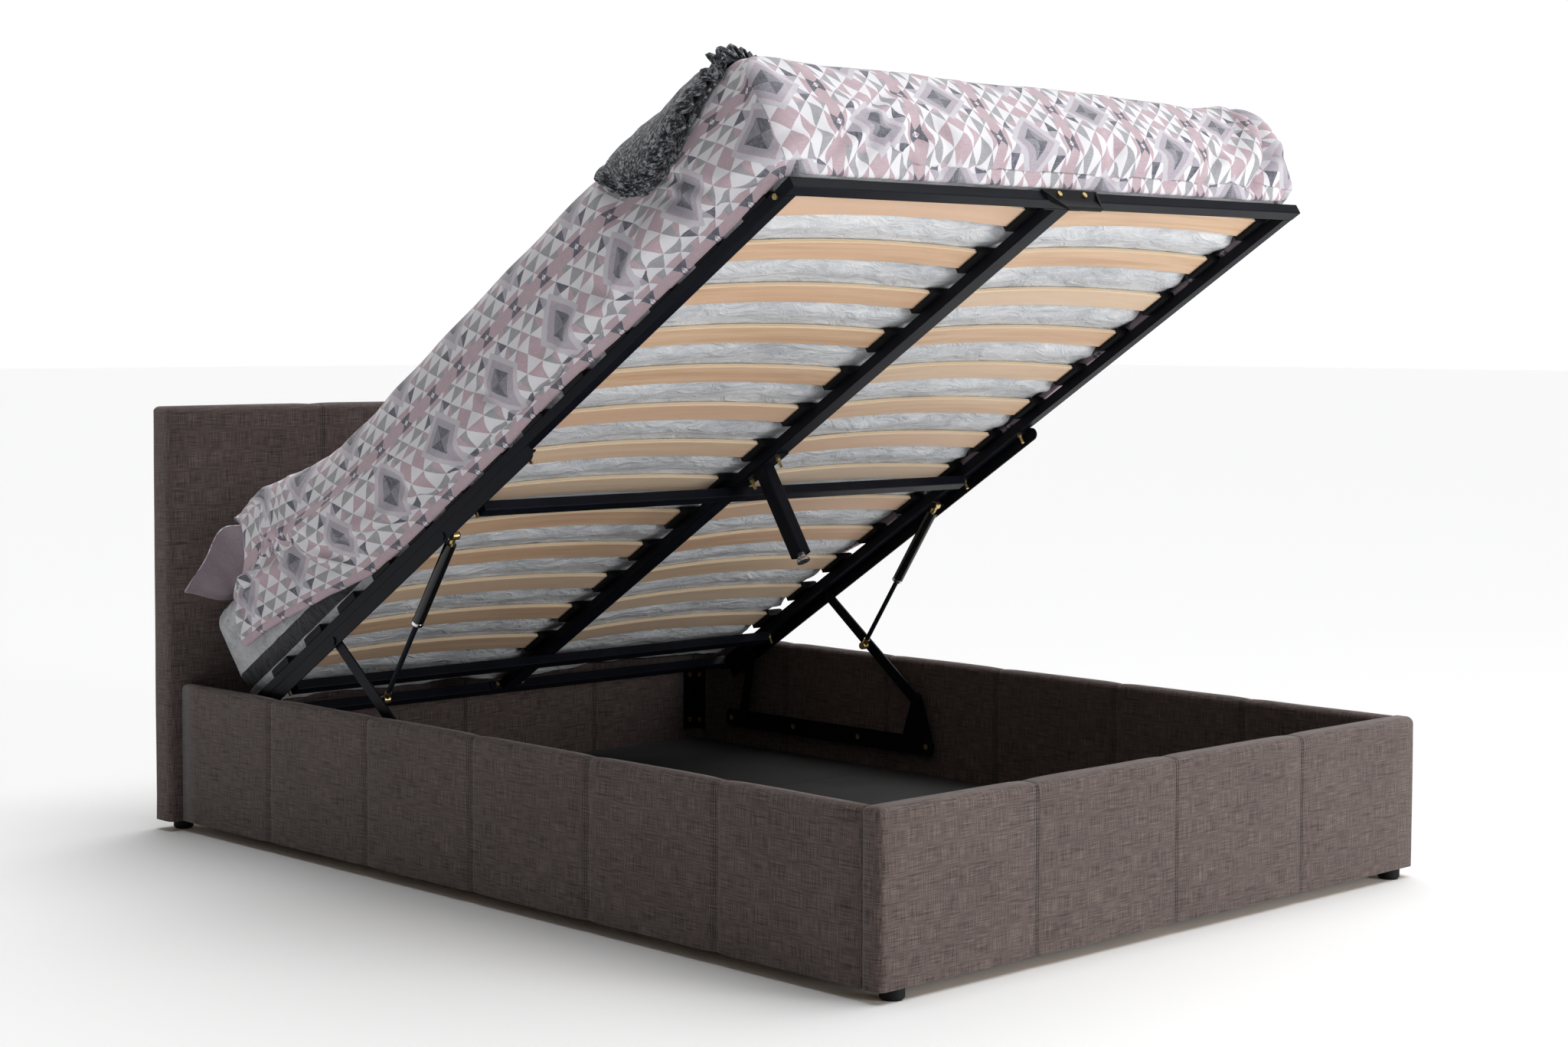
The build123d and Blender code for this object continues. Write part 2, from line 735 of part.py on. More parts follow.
def platform_bolts():
    """Bolts of the platform: hanging ones with nuts, the end flanges' and the corner ones."""
    bolts = []
    head = hex_head(platform_bolt_head, platform_bolt_head_height)
    nut = hex_head(platform_nut_radius, platform_nut_height)
    for x, y, seat in hanging_bolt_places():
        tail = seat - platform_nut_height - platform_bolt_tail
        bolt = rod_z(x, y, (tail, tube_wall), platform_bolt_radius)
        bolt += Pos(x, y, tube_wall) * head + Pos(x, y, seat - platform_nut_height) * nut
        bolts.append(bolt)
    middle = tube_height / 2
    for x in flange_bolt_places():
        back = tube_width + flange_plate
        front = -platform_length - handle_plate
        bolt = rod_y(x, (front, back - platform_length), middle, platform_bolt_radius)
        bolt += Pos(x, front, middle) * Rot(X=90) * head
        bolt += Pos(x, back - platform_length, middle) * Rot(X=-90) * nut
        bolts.append(bolt)
        bolt = rod_y(x, (-back, 0), middle, platform_bolt_radius)
        bolt += Pos(x, 0, middle) * Rot(X=-90) * head + Pos(x, -back, middle) * Rot(X=90) * nut
        bolts.append(bolt)
    y = corner_bolt_from_foot - platform_length
    through = (platform_half_width - tube_width / 2, platform_half_width)
    corner = rod_x(through, y, middle, platform_bolt_radius)
    corner += Pos(platform_half_width, y, middle) * Rot(Y=90) * head
    return bolts + [corner, other_side(corner)]


def leg_parts():
    """Fixed centre leg with its plate below the centre rail, and its glide."""
    y, half, low = -centre_leg_from_head, leg_size / 2, -leg_plate_thickness - leg_length
    across = (-leg_plate_width / 2, leg_plate_width / 2)
    along = (y - leg_plate_length / 2, y + leg_plate_length / 2)
    leg = span_box((-half, half), (y - half, y + half), (low, -leg_plate_thickness))
    leg = fillet(leg.edges().filter_by(Axis.Z), leg_radius)
    inner = half - tube_wall
    leg -= span_box((-inner, inner), (y - inner, y + inner), (low + tube_wall, -leg_plate_thickness))
    leg += span_box(across, along, (-leg_plate_thickness, 0))
    leg -= rod_z(0, y, (low, low + tube_wall), leg_stem_radius + fit_clearance)
    foot = low - leg_stem_length
    glide = rod_z(0, y, (foot - leg_glide_height, foot), leg_glide_radius)
    glide = fillet(glide.faces().sort_by(Axis.Z)[-1].edges(), leg_glide_height / 2)
    collar = rod_z(0, y, (foot, low), leg_radius + leg_stem_radius)
    return leg, glide + collar + rod_z(0, y, (low, low + leg_stem_length), leg_stem_radius)


def pull_handle():
    """Moulded pull on the foot tube: a flat back with a flared lip below and a cheek at each side."""
    face, top, low = -platform_length, tube_height, tube_height - handle_height
    bend = top - handle_flat
    front = face - handle_reach
    lip = Polyline(
        (face, top), (face - handle_plate, top), (face - handle_plate, bend), (front, low + handle_lip),
        (front, low), (front + handle_plate, low), (front + handle_plate, low + handle_plate),
        (face, bend - handle_plate), close=True,
    )
    cheek = Polyline(
        (face, top), (face - handle_plate, top), (front, low + handle_lip), (front, low),
        (face, bend - handle_plate),
        close=True,
    )
    shapes = []
    for trim in (0, handle_plate):
        wide, narrow = [width / 2 - trim for width in (handle_top_width, handle_low_width)]
        front_view = Polyline((-wide, top), (wide, top), (narrow, low), (-narrow, low), close=True)
        front_view = make_face(front_view)
        front_view = fillet(front_view.vertices().sort_by(Axis.Y)[:2], handle_radius)
        shapes.append(Pos(0, face) * extrude(Plane.XZ * front_view, handle_reach))
    width = handle_top_width / 2
    lip_body = extrude(Plane.YZ * make_face(lip), width, both=True) & shapes[0]
    cheeks = (extrude(Plane.YZ * make_face(cheek), width, both=True) & shapes[0]) - shapes[1]
    return lip_body + cheeks


# Slats


def slat_row_places():
    return [-last_slat_from_head - slat_pitch * row for row in range(slat_rows)]


def slat(grow):
    """Bowed slat of the right column; grown it makes the slots of its caps."""
    near = centre_cap_width / 2 - centre_cap_grip - grow
    far = platform_half_width - cap_width + cap_grip + grow
    low, high = slat_seat - grow, slat_seat + slat_thickness + grow
    middle = (near + far) / 2
    outline = ThreePointArc((near, low), (middle, low + slat_crown), (far, low))
    outline += Line((far, low), (far, high))
    outline += ThreePointArc((far, high), (middle, high + slat_crown), (near, high))
    outline += Line((near, high), (near, low))
    bar = extrude(Plane.XZ * make_face(outline), slat_width / 2 + grow, both=True)
    if grow:
        return bar
    return chamfer(bar.faces().filter_by(Axis.Y).edges(), slat_edge)


def cap(x_span):
    """Block of a slat cap with cut edges."""
    block = span_box(x_span, (-cap_length / 2, cap_length / 2), (tube_height, tube_height + cap_height))
    return chamfer(block.faces().sort_by(Axis.Z)[-1].edges(), cap_chamfer)


def slats_and_caps():
    """Nodes of both slat columns and the three rows of caps."""
    slot = slat(fit_clearance)
    slots = slot + other_side(slot)
    outer = cap((platform_half_width - cap_width, platform_half_width)) - slot
    centre = cap((-centre_cap_width / 2, centre_cap_width / 2)) - slots
    right, places = slat(0), slat_row_places()
    return {
        "slats_right": [Pos(0, y) * right for y in places],
        "slats_left": [Pos(0, y) * other_side(right) for y in places],
        "slat_caps_right": [Pos(0, y) * outer for y in places],
        "slat_caps_left": [Pos(0, y) * other_side(outer) for y in places],
        "slat_caps_centre": [Pos(0, y) * centre for y in places],
    }


def platform_frame():
    """Nodes of the platform's steelwork."""
    full = (-platform_half_width, platform_half_width)
    ends = (-platform_length + tube_width, -tube_width)
    side = (platform_half_width - tube_width, platform_half_width)
    side_tube = hollow_tube(side, ends, (0, tube_height), Axis.Y)
    leg, glide = leg_parts()
    holes = frame_holes()
    solid = {
        "foot_tube": hollow_tube(full, (-platform_length, ends[0]), (0, tube_height), Axis.X, True),
        "head_tube": hollow_tube(full, (ends[1], 0), (0, tube_height), Axis.X, True),
        "side_tube_right": side_tube,
        "side_tube_left": other_side(side_tube),
        "centre_rail": centre_rail(),
        "mid_cross_rail": cross_rail(mid_rail_from_head),
        "head_cross_rail": cross_rail(head_rail_from_head),
        "lift_angle_right": top_angle(),
        "lift_angle_left": other_side(top_angle()),
        "centre_leg": leg,
        "pull_handle": pull_handle(),
    }
    nodes = {name: shape - holes for name, shape in solid.items()}
    return {**nodes, "leg_glide": glide, "platform_bolts": platform_bolts(), **slats_and_caps()}


# Bedding, drawn on the flat platform


def mattress_shape(grow):
    """Rounded block of the mattress, grown or shrunk on all sides."""
    half = mattress_half_width + grow
    along = (-mattress_from_head - mattress_length - grow, grow - mattress_from_head)
    block = span_box((-half, half), along, (mattress_low - grow, mattress_top + grow))
    return fillet(block.edges(), mattress_radius + grow)


def pillow_shape(grow):
    """Right pillow: thin ends and a crowned middle, laid on the mattress."""
    start = mattress_half_width + pillow_overhang
    low = mattress_top + bedding_gap - grow
    middle = -pillow_from_head - pillow_depth / 2
    sections = []
    for place, depth_share, height_share in pillow_shares:
        half = pillow_depth * depth_share / 2 + grow
        high = low + pillow_height * height_share + 2 * grow
        edge = min(low + pillow_edge + grow, (low + high) / 2)
        back, front = middle + half, middle - half
        outline = Polyline((back, edge), (back, low), (front, low), (front, edge))
        outline += ThreePointArc((front, edge), (middle, high), (back, edge))
        shift = grow * (1 - 2 * place)
        sections.append(Pos(start + shift - pillow_length * place) * (Plane.YZ * make_face(outline)))
    return loft(sections, ruled=True)


def quilt_outer(grow):
    """Outer form of the quilt, grown on all sides."""
    sections = []
    foot = -platform_length - quilt_foot_reach
    for place, width, lower, crown in quilt_shares:
        half, low, top = quilt_half_width * width + grow, quilt_top * lower - grow, quilt_top * crown + grow
        round_corner = quilt_shoulder + grow
        high = top - quilt_sag
        side = high - round_corner
        bevel = round_corner * (1 - cos(radians(45)))
        outline = Polyline((half, side), (half, low), (-half, low), (-half, side))
        for sign in (-1, 1):
            outline += ThreePointArc(
                (sign * half, side), (sign * (half - bevel), high - bevel),
                (sign * (half - round_corner), high),
            )
        outline += ThreePointArc((round_corner - half, high), (0, top), (half - round_corner, high))
        y = foot + quilt_length * place - grow * (1 - 2 * place)
        sections.append(Pos(0, y) * (Plane.XZ * make_face(outline)))
    return loft(sections, ruled=True)


def hem_cut(raised):
    """Wedge below the slanted side hem at the head end of the quilt."""
    head = quilt_length - platform_length - quilt_foot_reach
    low = quilt_top * quilt_shares[-1][2] + raised
    wedge = Polyline(
        (head - quilt_hem_run, low), (head, low + quilt_hem_rise), (head + overrun, low + quilt_hem_rise),
        (head + overrun, 0), (head - quilt_hem_run, 0), close=True,
    )
    return extrude(Plane.YZ * make_face(wedge), quilt_half_width + overrun, both=True)


def quilt_body(wall):
    """Quilt round the mattress and pillows, or its inner hollow when a wall is given."""
    room = bedding_gap + wall
    half = mattress_half_width + room
    foot = -mattress_from_head - mattress_length - room
    below = span_box((-half, half), (foot, overrun), (0, mattress_low + mattress_radius))
    pillow_room = pillow_shape(room)
    body = quilt_outer(-wall) - mattress_shape(room) - below - hem_cut(wall)
    return body - pillow_room - other_side(pillow_room)


def bedding():
    """Nodes of the mattress, quilt, pillows and throw."""
    pillow = pillow_shape(0)
    reach = quilt_half_width + throw_thickness + overrun
    start = throw_from_foot - platform_length
    heights = (quilt_top - throw_drop, quilt_top + throw_thickness + overrun)
    band = span_box((-reach, throw_reach), (start, start + throw_width), heights)
    return {
        "mattress": mattress_shape(0) - mattress_shape(-mattress_padding),
        "pillow_left": other_side(pillow),
        "pillow_right": pillow,
        "quilt": quilt_body(0) - quilt_body(quilt_wall),
        "throw": (quilt_outer(throw_thickness) & band) - quilt_outer(bedding_gap),
    }


def write_step(name, shape, place):
    """Write one node as a compound of its separate solids."""
    solids = []
    for piece in shape if isinstance(shape, list) else [shape]:
        solids += (place * piece).solids()
    export_step(Compound(children=solids), os.path.join("parts", name + ".step"))
    print(name, len(solids), "solids", round(sum(solid.volume for solid in solids)), "mm3")


here = Pos(0, 0, 0)
os.makedirs("parts", exist_ok=True)
for group, place in (
    (surround(), here), (storage_floor(), here), (linkage(), here), (platform_frame(), open_frame),
    (bedding(), open_frame),
):
    for name, shape in group.items():
        write_step(name, shape, place)

for name, point in (
    ("front top", front_top), ("front base", front_base), ("rear top", rear_top), ("rear base", rear_base),
    ("strut top", strut_top), ("strut foot", strut_foot),
):
    print(name, point)
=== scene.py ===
import json
import math

import bmesh
import bpy
from mathutils import Matrix, Vector, noise


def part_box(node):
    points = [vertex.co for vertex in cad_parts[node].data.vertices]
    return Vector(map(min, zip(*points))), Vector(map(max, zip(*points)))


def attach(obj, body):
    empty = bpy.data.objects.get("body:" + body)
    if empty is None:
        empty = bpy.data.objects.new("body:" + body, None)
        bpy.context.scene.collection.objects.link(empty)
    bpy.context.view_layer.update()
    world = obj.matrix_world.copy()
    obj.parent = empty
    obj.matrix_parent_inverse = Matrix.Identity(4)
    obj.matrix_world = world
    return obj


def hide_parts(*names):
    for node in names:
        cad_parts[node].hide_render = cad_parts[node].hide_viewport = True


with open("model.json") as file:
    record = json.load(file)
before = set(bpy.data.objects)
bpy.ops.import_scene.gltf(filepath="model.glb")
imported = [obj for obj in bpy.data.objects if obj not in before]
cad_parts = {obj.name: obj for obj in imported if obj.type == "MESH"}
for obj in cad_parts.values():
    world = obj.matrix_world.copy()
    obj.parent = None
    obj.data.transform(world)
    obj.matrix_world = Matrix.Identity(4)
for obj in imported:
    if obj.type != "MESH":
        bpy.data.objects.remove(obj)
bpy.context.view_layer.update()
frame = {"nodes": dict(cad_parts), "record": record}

# The platform's own flat frame: Y runs to its head end and Z up from its underside
LIFT = math.radians(32.35)
HEAD_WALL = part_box("side_board_right")[1].y
PLATFORM = Matrix.Translation((0, HEAD_WALL - 0.1384, 0.2272)) @ Matrix.Rotation(-LIFT, 4, "X")
FLAT = PLATFORM.inverted()
SLAT_PITCH, LAST_SLAT = 0.132583, -0.195
STRUT_TOP, STRUT_FOOT = Vector((0, 0.13451, 0.63874)), Vector((0, 0.34904, 0.31956))


# Materials


class Signal:
    """A node socket whose arithmetic adds Math nodes."""

    def __init__(self, recipe, socket):
        self.recipe, self.socket = recipe, socket

    def math(self, operation, *others, clamp=False):
        return self.recipe.add(
            "ShaderNodeMath", {"operation": operation, "use_clamp": clamp}, dict(enumerate((self, *others)))
        )

    def __add__(self, other):
        return self.math("ADD", other)

    __radd__ = __add__

    def __mul__(self, other):
        return self.math("MULTIPLY", other)

    __rmul__ = __mul__

    def __sub__(self, other):
        return self.math("SUBTRACT", other)

    def __rsub__(self, other):
        return self.recipe.add("ShaderNodeMath", {"operation": "SUBTRACT"}, {0: other, 1: self})

    def __truediv__(self, other):
        return self.math("DIVIDE", other)

    def __lt__(self, other):
        return self.math("LESS_THAN", other)

    def __gt__(self, other):
        return self.math("GREATER_THAN", other)

    def __abs__(self):
        return self.math("ABSOLUTE")

    def floor(self):
        return self.math("FLOOR")

    def fraction(self):
        return self.math("FRACT")

    def smooth(self, low, high):
        """0 below low, 1 above high and smooth between."""
        return self.recipe.add(
            "ShaderNodeMapRange",
            {"interpolation_type": "SMOOTHSTEP"},
            {"Value": self, "From Min": low, "From Max": high},
        )


class Recipe:
    """A material under construction, with one principled shader."""

    def __init__(self, name, **constants):
        self.material = bpy.data.materials.new(name)
        self.material.use_nodes = True
        self.tree = self.material.node_tree
        self.tree.nodes.clear()
        self.shader = self.tree.nodes.new("ShaderNodeBsdfPrincipled")
        output = self.tree.nodes.new("ShaderNodeOutputMaterial")
        self.tree.links.new(self.shader.outputs[0], output.inputs[0])
        for socket, value in constants.items():
            self.shader.inputs[socket.replace("_", " ").title().replace("Ior", "IOR")].default_value = value

    def plug(self, socket, value):
        if isinstance(value, Signal):
            self.tree.links.new(value.socket, socket)
        else:
            socket.default_value = value

    def add(self, kind, settings=None, inputs=None, output=0):
        node = self.tree.nodes.new(kind)
        for key, value in (settings or {}).items():
            if key == "stops":
                ramp = node.color_ramp.elements
                while len(ramp) < len(value):
                    ramp.new(0.5)
                for stop, (place, colour) in zip(ramp, value):
                    stop.position, stop.color = place, (*colour, 1)
            else:
                setattr(node, key, value)
        for key, value in (inputs or {}).items():
            self.plug(node.inputs[key], value)
        return Signal(self, node.outputs[output])

    def coordinates(self, kind="Object", scale=(1, 1, 1), turn=(0, 0, 0), shift=(0, 0, 0)):
        place = self.add("ShaderNodeTexCoord", output=kind)
        return self.add("ShaderNodeMapping", None, {"Vector": place, "Scale": scale, "Rotation": turn, "Location": shift})

    def on_platform(self):
        """Coordinates in the platform's flat frame."""
        return self.coordinates("Object", turn=(LIFT, 0, 0), shift=tuple(FLAT.translation))

    def split(self, vector):
        node = self.tree.nodes.new("ShaderNodeSeparateXYZ")
        self.plug(node.inputs[0], vector)
        return [Signal(self, node.outputs[k]) for k in range(3)]

    def join(self, x, y, z=0.0):
        return self.add("ShaderNodeCombineXYZ", None, {0: x, 1: y, 2: z})

    def clouds(self, vector, scale=1.0, detail=2.0, roughness=0.5, distortion=0.0):
        return self.add(
            "ShaderNodeTexNoise",
            None,
            {"Vector": vector, "Scale": scale, "Detail": detail, "Roughness": roughness, "Distortion": distortion},
        )

    def ramp(self, value, stops, interpolation="LINEAR"):
        node = self.add("ShaderNodeValToRGB", {"stops": stops}, {"Fac": value})
        node.socket.node.color_ramp.interpolation = interpolation
        return node

    def mix(self, share, first, second, blend="MIX"):
        node = self.tree.nodes.new("ShaderNodeMix")
        node.data_type, node.blend_type = "RGBA", blend
        for index, value in ((0, share), (6, first), (7, second)):
            if not isinstance(value, Signal) and index:
                value = (*value, 1)
            self.plug(node.inputs[index], value)
        return Signal(self, node.outputs[2])

    def colour(self, value):
        if not isinstance(value, Signal):
            value = (*value, 1)
        self.plug(self.shader.inputs["Base Color"], value)

    def rough(self, value):
        self.plug(self.shader.inputs["Roughness"], value)

    def bump(self, *layers):
        """Bumps from (height, strength, distance) layers, one over the other."""
        normal = None
        for height, strength, distance in layers:
            inputs = {"Height": height, "Strength": strength, "Distance": distance}
            if normal:
                inputs["Normal"] = normal
            normal = self.add("ShaderNodeBump", None, inputs)
        self.plug(self.shader.inputs["Normal"], normal)


def linen(name, axis, pitch, reach, dark=(0.037, 0.027, 0.024), pale=(0.186, 0.14, 0.124)):
    """Slub linen with long weft and warp threads, and dark dashed rows at and beside the seams across an axis, partly
    stitching and partly painted shade in the seam grooves.
    """
    r = Recipe(name, roughness=0.92, sheen_weight=0.25, sheen_roughness=0.5, specular_ior_level=0.2)
    weft = r.clouds(r.coordinates("UV", (26, 720, 1)), 1, 2, 0.6)
    warp = r.clouds(r.coordinates("UV", (720, 26, 1), shift=(3, 7, 0)), 1, 2, 0.6)
    slub = r.clouds(r.coordinates("UV", (9, 240, 1), shift=(5, 1, 0)), 1, 1, 0.5).smooth(0.58, 0.70)
    weave = weft * 0.5 + warp * 0.5
    patches = r.clouds(r.coordinates("UV", (5, 7, 1)), 1, 3, 0.6)
    tone = (weave - 0.5) * 1.5 + 0.5 + (patches - 0.5) * 0.14 - slub * 0.09
    colour = r.ramp(tone, ((0.3, dark), (0.43, (0.077, 0.057, 0.052)), (0.55, (0.119, 0.088, 0.079)), (0.7, pale)))
    place = r.split(r.coordinates("Object"))[axis]
    away = abs((place / pitch + 0.5).fraction() - 0.5) * pitch
    inside = abs(place) < reach
    # Dark rows at each seam and 5 mm beside it: partly stitching, partly painted shade in the seam groove
    seam_shade_and_stitch_lines = ((away < 0.0013) + (abs(away - 0.0050) < 0.0010)) * inside
    height = r.split(r.coordinates("Object"))[2]
    seam_shade_and_stitch_dashes = ((height * 170).fraction() < 0.78) * seam_shade_and_stitch_lines
    colour = r.mix(seam_shade_and_stitch_dashes.math("MINIMUM", 1.0) * 0.85, colour, (0.02, 0.016, 0.015))
    r.colour(colour)
    r.bump((weave, 0.5, 0.0006), (seam_shade_and_stitch_lines.math("MINIMUM", 1.0) * -1.0, 0.6, 0.0008))
    return r.material


def painted_steel():
    r = Recipe("black_powder_coat", specular_ior_level=0.1)
    place = r.coordinates("Object")
    grain = r.clouds(place, 900, 2)
    wear = r.clouds(place, 9, 4, 0.6)
    r.colour(r.ramp(wear, ((0.3, (0.0035, 0.0042, 0.0072)), (0.7, (0.0065, 0.0078, 0.0132)))))
    r.rough(wear * 0.2 + 0.32)
    r.bump((grain, 0.25, 0.0004))
    return r.material


def yellow_zinc():
    r = Recipe("yellow_zinc", metallic=1.0)
    stain = r.clouds(r.coordinates("Object"), 240, 3)
    r.colour(r.ramp(stain, ((0.3, (0.46, 0.32, 0.12)), (0.55, (0.72, 0.55, 0.26)), (0.75, (0.78, 0.68, 0.42)))))
    r.rough(stain * 0.25 + 0.22)
    r.bump((stain, 0.2, 0.0002))
    return r.material


def bright_plate():
    r = Recipe("bright_plate", metallic=1.0)
    rings = r.clouds(r.coordinates("Object", (60, 60, 900)), 1, 2)
    r.colour(r.ramp(rings, ((0.3, (0.55, 0.56, 0.58)), (0.7, (0.8, 0.8, 0.81)))))
    r.rough(rings * 0.2 + 0.15)
    r.bump((rings, 0.15, 0.0001))
    return r.material


def strut_paint():
    """Gloss black tube whose guide collar, at its lower end, is bright plated."""
    r = Recipe("strut_paint", specular_ior_level=0.5)
    run = STRUT_FOOT - STRUT_TOP
    along = r.add("ShaderNodeVectorMath", {"operation": "SUBTRACT"}, {0: r.coordinates("Object"), 1: tuple(STRUT_TOP)})
    along = r.add("ShaderNodeVectorMath", {"operation": "DOT_PRODUCT"}, {0: along, 1: tuple(run.normalized())}, output=1)
    collar = along > 0.1978
    haze = r.clouds(r.coordinates("Object"), 30, 3)
    black = r.ramp(haze, ((0.3, (0.0035, 0.0035, 0.004)), (0.7, (0.007, 0.007, 0.008))))
    r.colour(r.mix(collar, black, (0.74, 0.74, 0.76)))
    r.plug(r.shader.inputs["Metallic"], collar)
    r.rough(haze * 0.1 + 0.12)
    return r.material


def moulded_plastic():
    r = Recipe("black_moulding", specular_ior_level=0.12)
    place = r.coordinates("Object")
    spark = r.clouds(place, 1400, 2)
    soft = r.clouds(place, 14, 3)
    r.colour(r.ramp(soft, ((0.3, (0.006, 0.0062, 0.007)), (0.7, (0.011, 0.0115, 0.013)))))
    r.rough(soft * 0.15 + 0.45)
    r.bump((spark, 0.3, 0.0004))
    return r.material


def birch(name, column):
    """Bent birch laminate: long fine grain, a tone of its own for each slat and pale cut edges."""
    r = Recipe(name, roughness=0.5, specular_ior_level=0.35)
    x, y, z = r.split(r.on_platform())
    row = ((y - LAST_SLAT) / SLAT_PITCH + 0.5).floor()
    shade = r.add("ShaderNodeTexWhiteNoise", {"noise_dimensions": "1D"}, {"W": row * 3.7 + column * 11.0})
    second = r.add("ShaderNodeTexWhiteNoise", {"noise_dimensions": "1D"}, {"W": row * 5.1 + column * 7.0 + 40.0})
    grain = r.clouds(r.join(x * 2.4, y * 60.0 + row * 4.0, z * 60.0), 1, 5, 0.6, 0.35)
    flecks = r.clouds(r.join(x * 16.0, y * 700.0, z * 700.0 + row), 1, 2, 0.5).smooth(0.6, 0.75)
    cloud = r.clouds(r.join(x * 1.1 + row, y * 7.0, z * 7.0), 1, 3, 0.5)
    wood = r.ramp(grain, ((0.28, (0.58, 0.36, 0.225)), (0.5, (0.69, 0.465, 0.30)), (0.74, (0.78, 0.565, 0.395))))
    wood = r.mix(shade.smooth(0.35, 1.0) * 0.65, wood, (0.80, 0.66, 0.50))
    wood = r.mix(second.smooth(0.4, 1.0) * 0.5, wood, (0.72, 0.43, 0.29))
    wood = r.mix(cloud.smooth(0.45, 0.7) * 0.3, wood, (0.62, 0.37, 0.22))
    wood = r.mix(flecks * 0.22, wood, (0.36, 0.21, 0.12))
    facing = r.split(r.coordinates("Normal", turn=(LIFT, 0, 0)))[1]
    plies = abs((z * 900.0).fraction() - 0.5)
    edge = r.mix(plies * 0.6, (0.66, 0.53, 0.36), (0.46, 0.33, 0.20))
    r.colour(r.mix(abs(facing).smooth(0.6, 0.85), wood, edge))
    r.bump((grain, 0.15, 0.0005))
    return r.material


def plain_timber():
    r = Recipe("plain_timber", roughness=0.7)
    x, y, z = r.split(r.coordinates("Object"))
    grain = r.clouds(r.join(x * 40.0, y * 4.0, z * 40.0), 1, 5, 0.6, 0.3)
    r.colour(r.ramp(grain, ((0.3, (0.36, 0.235, 0.13)), (0.55, (0.52, 0.37, 0.225)), (0.75, (0.62, 0.47, 0.31)))))
    r.bump((grain, 0.3, 0.0008))
    return r.material


def floor_facing():
    r = Recipe("dark_hardboard", roughness=0.75)
    place = r.coordinates("Object")
    fibre = r.clouds(place, 320, 4, 0.6)
    blotch = r.clouds(place, 6, 4, 0.6)
    r.colour(r.ramp(fibre * 0.5 + blotch * 0.5, ((0.3, (0.018, 0.018, 0.02)), (0.7, (0.045, 0.044, 0.046)))))
    r.bump((fibre, 0.3, 0.0006))
    return r.material


def mattress_cloth():
    """Thin pale cover, creased below and knitted at the sides, with painted shade in its crease hollows and painted
    highlight on their ridges, and a dark band of painted shadow along its lower edge.
    """
    r = Recipe("mattress_cover", roughness=0.6, sheen_weight=0.15, specular_ior_level=0.35)
    place = r.on_platform()
    x, y, z = r.split(place)
    creases = r.clouds(r.join(x * 14.0, y * 34.0, z * 30.0), 1, 5, 0.65, 1.1)
    broad = r.clouds(r.join(x * 5.0, y * 12.0, z * 9.0), 1, 3, 0.6, 0.6)
    knit = r.clouds(place, 420, 2)
    # Tone follows the creases: painted shade in their hollows and painted highlight on their ridges, over the knit
    tone = creases * 0.45 + broad * 0.4 + knit * 0.15
    pale = r.ramp(tone, ((0.34, (0.40, 0.415, 0.445)), (0.5, (0.62, 0.635, 0.66)), (0.66, (0.80, 0.805, 0.82))))
    side = abs(r.split(r.coordinates("Normal", turn=(LIFT, 0, 0)))[2]) < 0.75
    # Dark band of painted shadow along the lower edge of the sides
    painted_shadow_band = ((z > 0.052) * (z < 0.082)) * side
    r.colour(r.mix(painted_shadow_band, pale, (0.022, 0.023, 0.028)))
    r.rough(broad * 0.3 + 0.4)
    r.bump((broad, 0.6, 0.014), (creases, 1.0, 0.010), (knit, 0.15, 0.0006))
    return r.material


WHITE, PINK, MAUVE = (0.76, 0.755, 0.79), (0.49, 0.365, 0.405), (0.40, 0.368, 0.43)
GREY, SLATE = (0.34, 0.34, 0.365), (0.095, 0.098, 0.13)


